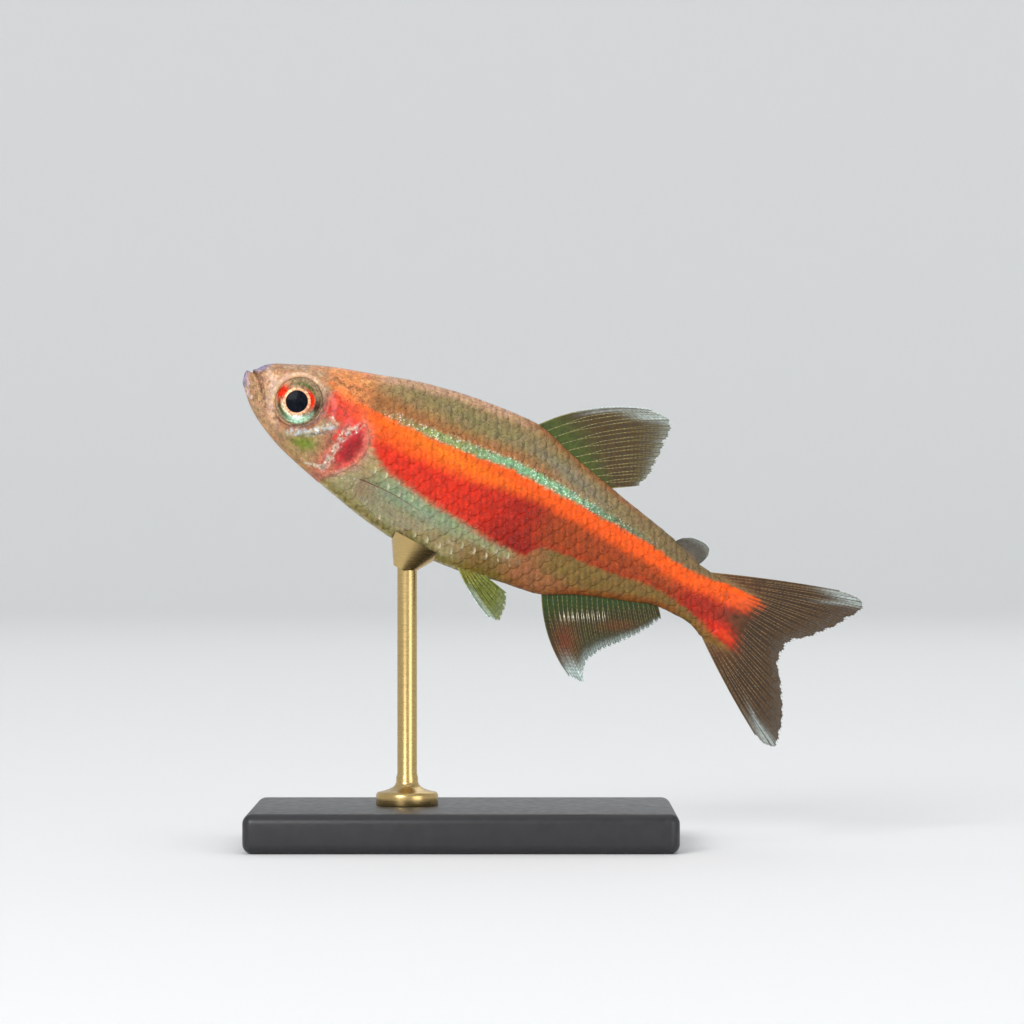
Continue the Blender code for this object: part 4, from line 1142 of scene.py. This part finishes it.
def placedFin(kind, sign, x, y, z):
    f = finPlaces
    rootX, rootZ = fins[kind]["roots"][0]
    if kind == "pelvic":
        low = belly(rootX)
        c, s = math.cos(f["pelvicSplay"]), math.sin(f["pelvicSplay"]) * sign
        y, z = f["pelvicSide"] * sign + y * c - (z - low) * s, low + y * s + (z - low) * c
    elif kind == "pectoral":
        c, s = math.cos(f["pectoralSplay"]), math.sin(f["pectoralSplay"]) * sign
        dx = x - rootX
        out = (flankAt(rootX, rootZ) + f["pectoralGap"]) * sign + dx * s
        # the root lies in the flank, and the fin bends out from it
        out = out + ((flankAt(x, z) - f["rootSink"]) * sign - out) * smooth(dx, f["pectoralBend"], 0.0)
        x, y = rootX + dx * c - y * s, out + y * c
    return np.stack([x, y, z], -1)


def finColour(kind, share, along, places, onRay=False):
    tone, rays = finTones[kind], fins[kind]["rays"]
    x, z = places[..., 0], places[..., 2]
    colour = painted(plain(tone["root"], share), tone, [
        ("middle", 1, smooth(along, 0.12, 0.45)), ("tip", 1, smooth(along, 0.7, 1.0)),
        ("ray", 0.9 * onRay, 1 - 0.5 * smooth(along, 0.35, 1.0))])
    rootD, middleD, tipD = tone["density"]
    density = rootD + (middleD - rootD) * smooth(along, 0.1, 0.5) + (tipD - middleD) * smooth(along, 0.7, 1)
    white = 0 * share
    for strength, *where in whiteSpots.get(kind, ()):
        white = white + strength * spot(x, z, *where)
    if kind == "caudal":
        # the colours of the tail's root run out along the rays
        fromMiddle = np.abs(z - 1.1)
        nearRay = 1 if onRay else np.cos(share * (rays - 1) * math.pi) ** 2
        reach = 0.4 * np.minimum(fromMiddle, 1.3) + 0.45 * nearRay + 0.3 * lumps(places, 0.4)
        root = smooth(x - reach, 34.0, 32.5) * smooth(fromMiddle, 2.2, 1.7)
        colour = overlaid(colour, coatOf(places), root)
        density = density + (1 - density) * smooth(x, 34.6, 33.9)
    elif kind == "dorsal":
        white = white + 0.9 * smooth(share, 0.09, 0.02) * smooth(along, 0.3, 0.6)
        white = white + 0.4 * smooth(along, 0.88, 1.0)
    elif kind == "anal":
        rust = spot(x, z, (24.9, -5.0), (0.7, 1.2), 35) + 0.6 * spot(x, z, (27.2, -2.6), (1.2, 0.35), 30)
        colour = blended(colour, finMarks["analRust"], rust * (0.5 if onRay else 0.9))
        white = white + 0.75 * smooth(along, 0.82, 1.0)
    elif kind == "pelvic":
        white = smooth(share, 0.25, 0.0) * smooth(along, 0.3, 0.6)
    white = np.clip(white, 0, 1)
    betweenRays = np.sin(share * max(rays - 1, 1) * 2 * math.pi) ** 2
    colour = blended(colour, finMarks["white"], white * (0.95 if onRay else 0.55 - 0.45 * betweenRays))
    return colour, np.clip(density + (0.8 - density) * white * 0.6, 0, 1)


def finMaterial():
    f = finFinish
    material, tree, shader = newMaterial("finMembrane", f["membrane"])
    mottle = texture(tree, "Noise", fishCoordinates(tree), f["mottleScale"], {"Detail": 5}).outputs["Fac"]
    source = attribute(tree, "coat")
    light = rangeNode(tree, mottle, 0.3, 0.7, *f["mottleLight"])
    density = rangeNode(tree, mottle, 0.3, 0.7, *f["mottleDensity"])
    feed(tree, shader, {"Base Color": lit(tree, source["Color"], light),
                        "Alpha": mathNode(tree, "MULTIPLY", source["Alpha"], density)})
    addBump(tree, shader, mottle, f["bump"], f["bumpHeight"])
    return material


def rayMaterial():
    material, tree, shader = newMaterial("finRay", finFinish["ray"])
    fleck = texture(tree, "Noise", fishCoordinates(tree), finFinish["rayScale"], {"Detail": 3})
    light = rangeNode(tree, fleck.outputs["Fac"], 0.35, 0.65, *finFinish["rayLight"])
    feed(tree, shader, {"Base Color": lit(tree, attribute(tree, "coat")["Color"], light)})
    return material


# Tubes along lines: each point's thickness comes from the line's own attribute
def rayTree():
    tree, ids, given = newTree("rays along lines", {
        "Float": ("Thickness",), "Int": ("Sides",), "Material": ("Material",)})
    line = addNode(tree, "GeometryNodeMeshToCurve", {"Mesh": given["Geometry"]})
    radius = mathNode(tree, "MULTIPLY", namedAttribute(tree, "thick"), given["Thickness"])
    sized = addNode(tree, "GeometryNodeSetCurveRadius", {"Curve": line.outputs[0], "Radius": radius})
    ring = addNode(tree, "GeometryNodeCurvePrimitiveCircle", {"Resolution": given["Sides"], "Radius": 1.0})
    swept = addNode(tree, "GeometryNodeCurveToMesh", {
        "Curve": sized.outputs[0], "Profile Curve": ring.outputs[0], "Scale": radius, "Fill Caps": True})
    real = addNode(tree, "GeometryNodeRealizeInstances", {"Geometry": swept.outputs[0]})
    finishTree(tree, real.outputs[0], given["Material"])
    return tree, ids


# The half width of the tail fin's membrane over the flesh's end
def overFlesh(x, z):
    return flankAt(x, z) - 0.01 + 0.03 * smooth(x, 32.6, 33.3) - 0.1 * smooth(x, 33.9, 34.7)


def makeMembrane(name, kind, sign, material, node):
    spec, b = fins[kind], finBuild
    gaps, rows = max(spec["rays"] - 1, b["fewestGaps"]), b["rowsAlong"]
    columns = gaps * b["columnsPerRay"] + 1
    share, along = np.meshgrid(np.linspace(0, 1, columns), np.linspace(0, 1, rows), indexing="ij")
    hasRays = spec["rays"] > 0
    betweenRays = hasRays * np.sin(share * gaps * math.pi) ** 2
    branches = hasRays * np.sin(share * gaps * 4 * math.pi) ** 2
    uneven = 0.6 + 0.8 * lumps(np.stack([share * gaps, 0 * share, 0 * share], -1), 1.3)
    frayed = (0.6 * betweenRays + 0.4 * branches) * uneven
    length = np.linalg.norm(spec["tipAt"](share) - spec["rootAt"](share), axis=-1)
    flat = finPlane(spec, share, along * (1 - b["notch"] / length * frayed * smooth(along, 0.6, 1.0)))
    if kind == "adipose":
        root, edge = b["adiposeHalf"]
        half = root + (edge - root) * along
    else:
        half = b["rootHalf"] + (b["edgeHalf"] - b["rootHalf"]) * smooth(along, 0, 1)
    half = half * (1 - 0.35 * betweenRays)
    if kind == "caudal":
        # the flesh's end thins out inside the tail fin, which goes over it
        half = np.maximum(half, overFlesh(flat[..., 0], flat[..., 1]))
    ring = np.concatenate([placedFin(kind, sign, flat[..., 0], side * half, flat[..., 1]).reshape(-1, 3)
                           for side in (-1, 1)])
    ids, size = np.arange(columns * rows).reshape(columns, rows), columns * rows
    near = gridFaces(columns, rows)
    border = np.concatenate([ids[:, 0], ids[-1, 1:], ids[-2::-1, -1], ids[0, -2:0:-1]])
    after = np.roll(border, -1)
    sides = np.stack([after, border, border + size, after + size], -1)
    mesh = meshFrom(name, toRow(ring), np.vstack([near, near[:, ::-1] + size, sides]).tolist())
    setOutward(mesh)
    addColour(mesh, "coat", *finColour(kind, np.tile(share.ravel(), 2), np.tile(along.ravel(), 2), ring))
    showPiece(name, mesh, material, "fin", node)


def makeRays(name, kind, sign, tree, ids, material, node):
    spec, b = fins[kind], finBuild
    last = spec["rays"] - 1
    edges, points = [], []

    # one piece of a ray, from one share of its length to another, that drifts sideways on its way
    def addPiece(share0, length, start, end, fromOffset, toOffset, size):
        steps = max(8, int(length / b["jointLength"] * b["pointsPerJoint"]))
        along = np.linspace(start, end, max(4, int(steps * (end - start))))
        offset = fromOffset + (toOffset - fromOffset) * smooth(along, start, end)
        share = np.clip(share0 + offset / last, 0, 1)
        joint = np.cos(along * length / b["jointLength"] * math.pi) ** 4
        thick = (b["rayRoot"] + (b["rayTip"] - b["rayRoot"]) * along) * (1 - 0.22 * joint) * size
        flat = finPlane(spec, share, along)
        places = placedFin(kind, sign, flat[:, 0], 0 * flat[:, 0], flat[:, 1])
        edges.extend((len(points) + i, len(points) + i + 1) for i in range(len(places) - 1))
        points.extend(np.column_stack([places, thick, share, along, joint]))

    outerSize, stemSize, branchSize, tipSize = b["branchSizes"]
    wide, narrow = b["branchShares"]
    first, second = b["firstBranch"], b["secondBranch"]
    for ray in range(last + 1):
        share0 = ray / last
        length = np.linalg.norm(spec["tipAt"](share0) - spec["rootAt"](share0))
        if ray in (0, last):
            addPiece(share0, length, 0, 1, 0, 0, outerSize)
            continue
        thin = b["pectoralInner"] if kind == "pectoral" else 1
        addPiece(share0, length, 0, first, 0, 0, stemSize * thin)
        for half in (-wide, wide):
            addPiece(share0, length, first, second, 0, half, branchSize * thin)
            for quarter in (-narrow, narrow):
                addPiece(share0, length, second, 1, half, half + quarter, tipSize * thin)
    places, thick, shares, alongs, joints = np.split(np.array(points), [3, 4, 5, 6], axis=1)
    shares, alongs = shares.ravel(), alongs.ravel()
    lines = bpy.data.meshes.new("rayLines")
    lines.from_pydata([tuple(v) for v in toRow(places)], edges, [])
    addValue(lines, "thick", thick)
    tone = finColour(kind, shares, alongs, places, True)[0] * (1.15 - 0.5 * joints)
    if kind == "anal":
        dash = alongLine(places[:, 0], places[:, 2], finMarks["dashLine"])[0]
        tone = blended(tone, finMarks["analDash"], bell(dash, finMarks["dashHalf"]))
    if kind == "pectoral":
        tone = blended(tone, finMarks["pectoralFront"], smooth(shares, 0.06, 0.02) * 0.95)
    addColour(lines, "coat", tone)
    mesh = treeMesh(name, lines, tree, ids, {
        "Thickness": pose["millimetre"], "Sides": b["raySides"], "Material": material})
    showPiece(name, mesh, material, "fin", node)
    print("stage:", name, len(mesh.polygons), "faces")


def makeFins():
    membrane, ray = finMaterial(), rayMaterial()
    tree, ids = rayTree()
    for kind, spec in fins.items():
        spec["rootAt"], spec["tipAt"] = lineThrough(spec["roots"]), lineThrough(spec["tips"])
        sides = (("_left", -1), ("_right", 1)) if kind in ("pelvic", "pectoral") else (("", 0),)
        for ending, sign in sides:
            node = f"{kind}_fin{ending}"
            makeMembrane(f"{kind}_membrane{ending}", kind, sign, membrane, node)
            if spec["rays"]:
                makeRays(f"{kind}_rays{ending}", kind, sign, tree, ids, ray, node)


# Stand: a rounded satin block, a turned rod with a foot, and a cup that the belly lies in
stand = {
    "edgeRounding": 0.6, "rodRadius": 0.6, "footRadius": 1.9, "footHeight": 0.75, "footSlope": 0.9,
    "cupX": 14.0, "cupRadius": 1.8, "cupTop": -3.85, "cupFoot": -5.75, "cupGap": 0.05, "sides": 64,
    "sharpAngle": math.radians(40),
    "satinBlack": dict(stretch=(1, 1, 1), scale=1800, detail=4, rough=(0.34, 0.46), bump=0.08,
                       colours=((0.010, 0.010, 0.011, 1), (0.022, 0.022, 0.024, 1)), metallic=0.0),
    "brushedBrass": dict(stretch=(400, 400, 14000), scale=1, detail=3, rough=(0.25, 0.31), bump=0.0,
                         colours=((0.53, 0.37, 0.15, 1), (0.59, 0.42, 0.18, 1)), metallic=1.0),
    "bumpHeight": 0.00002,
}


# The height of the body's underside in the fish's frame, at a place of the top view
def underside(x, y):
    sine = np.clip(np.abs(y) / halfWidth(x), 0, 1) ** (1 / body["bellySharpness"])
    return widestLevel(x) - (widestLevel(x) - belly(x)) * np.sqrt(1 - sine**2)


def standPiece(name, mesh, material, node):
    showPiece(name, mesh, material, node, node)
    mesh.set_sharp_from_angle(angle=stand["sharpAngle"])


# A stand material, whose fine grain moves the roughness and the colour
def grained(name):
    look = stand[name]
    material, tree, shader = newMaterial(name, {"Metallic": look["metallic"]})
    place = addNode(tree, "ShaderNodeMapping", {"Vector": objectCoordinates(tree), "Scale": look["stretch"]})
    grain = texture(tree, "Noise", place.outputs["Vector"], look["scale"], {"Detail": look["detail"]})
    grain = grain.outputs["Fac"]
    feed(tree, shader, {"Roughness": rangeNode(tree, grain, 0.3, 0.7, *look["rough"]),
                        "Base Color": mixColours(tree, grain, *look["colours"])})
    if look["bump"]:
        addBump(tree, shader, grain, look["bump"], stand["bumpHeight"])
    return material


def makeStand():
    st, mm = stand, pose["millimetre"]
    black, brass = grained("satinBlack"), grained("brushedBrass")
    low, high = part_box("stand_base")
    bm = bmesh.new()
    bmesh.ops.create_cube(bm, size=1)
    for vert in bm.verts:
        vert.co = Vector(low[i] + (vert.co[i] + 0.5) * (high[i] - low[i]) for i in range(3))
    bmesh.ops.bevel(bm, geom=bm.edges[:], offset=st["edgeRounding"] * mm, segments=6, profile=0.5,
                    affect="EDGES")
    mesh = bpy.data.meshes.new("stand_block")
    bm.to_mesh(mesh)
    bm.free()
    standPiece("stand_block", mesh, black, "stand_base")

    # the cup lies in the fish's frame, square to its belly
    angles = np.arange(st["sides"]) * 2 * math.pi / st["sides"]
    cos, sin = np.cos(angles), np.sin(angles)
    x, foot, r = st["cupX"], st["cupFoot"], st["rodRadius"]

    def topAt(radius):
        return np.minimum(st["cupTop"], underside(x + radius * cos, radius * sin) - st["cupGap"])

    def ringAt(radius, z):
        return toRow(np.stack([x + radius * cos, radius * sin, z], -1))

    rim = np.full(angles.shape, st["cupRadius"])
    for _ in range(40):
        rim = r + (st["cupRadius"] - r) * (topAt(rim) - foot) / (st["cupTop"] - foot)
    rings = [ringAt(r + (rim - r) * t, foot + (topAt(rim) - foot) * t) for t in np.linspace(0, 1, 9)]
    rings += [ringAt(rim * t, topAt(rim * t)) for t in np.linspace(0.97, 0.05, 14)]
    mesh = ringSurface("stand_cup", rings, toRow([x, 0, foot]), toRow([x, 0, belly(x) - st["cupGap"]]))
    standPiece("stand_cup", mesh, brass, "stand_rod")

    ground, f = high.z / mm, st["footRadius"]
    top = toRow([x, 0, (foot + belly(x)) / 2])
    footTop = ground + st["footHeight"]
    slopeTop = footTop + st["footSlope"]
    profile = [(r, top[2] / mm), (r, slopeTop + 0.3), (r + 0.06, slopeTop + 0.08)]
    profile += [(r + 0.06 + (f - r - 0.16) * t**2.2, slopeTop + 0.08 - (st["footSlope"] + 0.02) * t**0.55)
                for t in np.linspace(0.1, 1, 10)]
    profile += [(f - 0.03, footTop - 0.03), (f, footTop - 0.12), (f, ground + 0.08), (f - 0.05, ground)]
    rings = [np.stack([top[0] + radius * mm * cos, radius * mm * sin, np.full(cos.shape, z * mm)], -1)
             for radius, z in profile]
    mesh = ringSurface("stand_turned_rod", rings, top, (top[0], 0, high.z))
    standPiece("stand_turned_rod", mesh, brass, "stand_rod")
    print("stage: stand")


# Studio: a pale dish, so that every side has the same ground behind it, and soft lamps
studio = {
    "floorRadius": 0.7, "sweep": 0.3, "wall": 0.25, "sides": 64, "floorColour": (0.90, 0.90, 0.89, 1),
    "worldColour": (0.93, 0.96, 1.0, 1), "world": 0.66,
    "cameraDistance": 0.30, "seenWidth": 0.06257, "aim": (-0.002575, 0.0, 0.020318), "sensor": 36,
    "lamps": [("key", (-0.24, -0.50, 0.26), 0.22, 1.9), ("fill", (0.36, -0.44, 0.06), 0.30, 0.8),
              ("rim", (0.10, 0.45, 0.40), 0.30, 0.25), ("top", (0.0, -0.02, 0.6), 0.40, 0.3)],
}


def makeStudio():
    st, scene = studio, bpy.context.scene
    profile = [(st["floorRadius"] * t, 0.0) for t in np.linspace(0.02, 1, 12)]
    profile += [(st["floorRadius"] + st["sweep"] * math.sin(a), st["sweep"] * (1 - math.cos(a)))
                for a in np.linspace(0.1, math.pi / 2, 14)]
    profile.append((st["floorRadius"] + st["sweep"], st["sweep"] + st["wall"]))
    count = st["sides"]
    angles = [2 * math.pi * k / count for k in range(count)]
    verts = [(r * math.cos(a), r * math.sin(a), z) for r, z in profile for a in angles] + [(0, 0, 0)]
    faces = [[len(verts) - 1, k, (k + 1) % count] for k in range(count)]
    mesh = meshFrom("studioFloor", verts, faces + gridFaces(len(profile), count, closed=True).tolist())
    mesh.shade_smooth()
    mesh.materials.append(newMaterial("paleFloor", {"Base Color": st["floorColour"], "Roughness": 0.7})[0])
    placed("studioFloor", mesh)

    scene.world = bpy.data.worlds.new("studio")
    scene.world.use_nodes = True
    tree = scene.world.node_tree
    feed(tree, tree.nodes["Background"], {"Color": st["worldColour"], "Strength": st["world"]})
    scene.view_settings.view_transform = "Standard"

    aim = Vector(st["aim"])
    for name, place, size, power in st["lamps"]:
        data = bpy.data.lights.new(name, "AREA")
        data.size, data.energy = size, power
        lamp = placed(name, data)
        lamp.location = place
        lamp.rotation_euler = (aim - Vector(place)).to_track_quat("-Z", "Y").to_euler()

    data = bpy.data.cameras.new("camera")
    data.sensor_width = st["sensor"]
    data.lens = st["sensor"] * st["cameraDistance"] / st["seenWidth"]
    data.clip_start, data.clip_end = 0.01, 10
    scene.camera = placed("camera", data)
    scene.camera.location = aim - Vector((0, st["cameraDistance"], 0))
    scene.camera.rotation_euler = (math.radians(90), 0, 0)
    print("stage: studio")


for make in (makeStudio, makeSkin, makeScales, makeEyes, makeFins, makeStand):
    make()
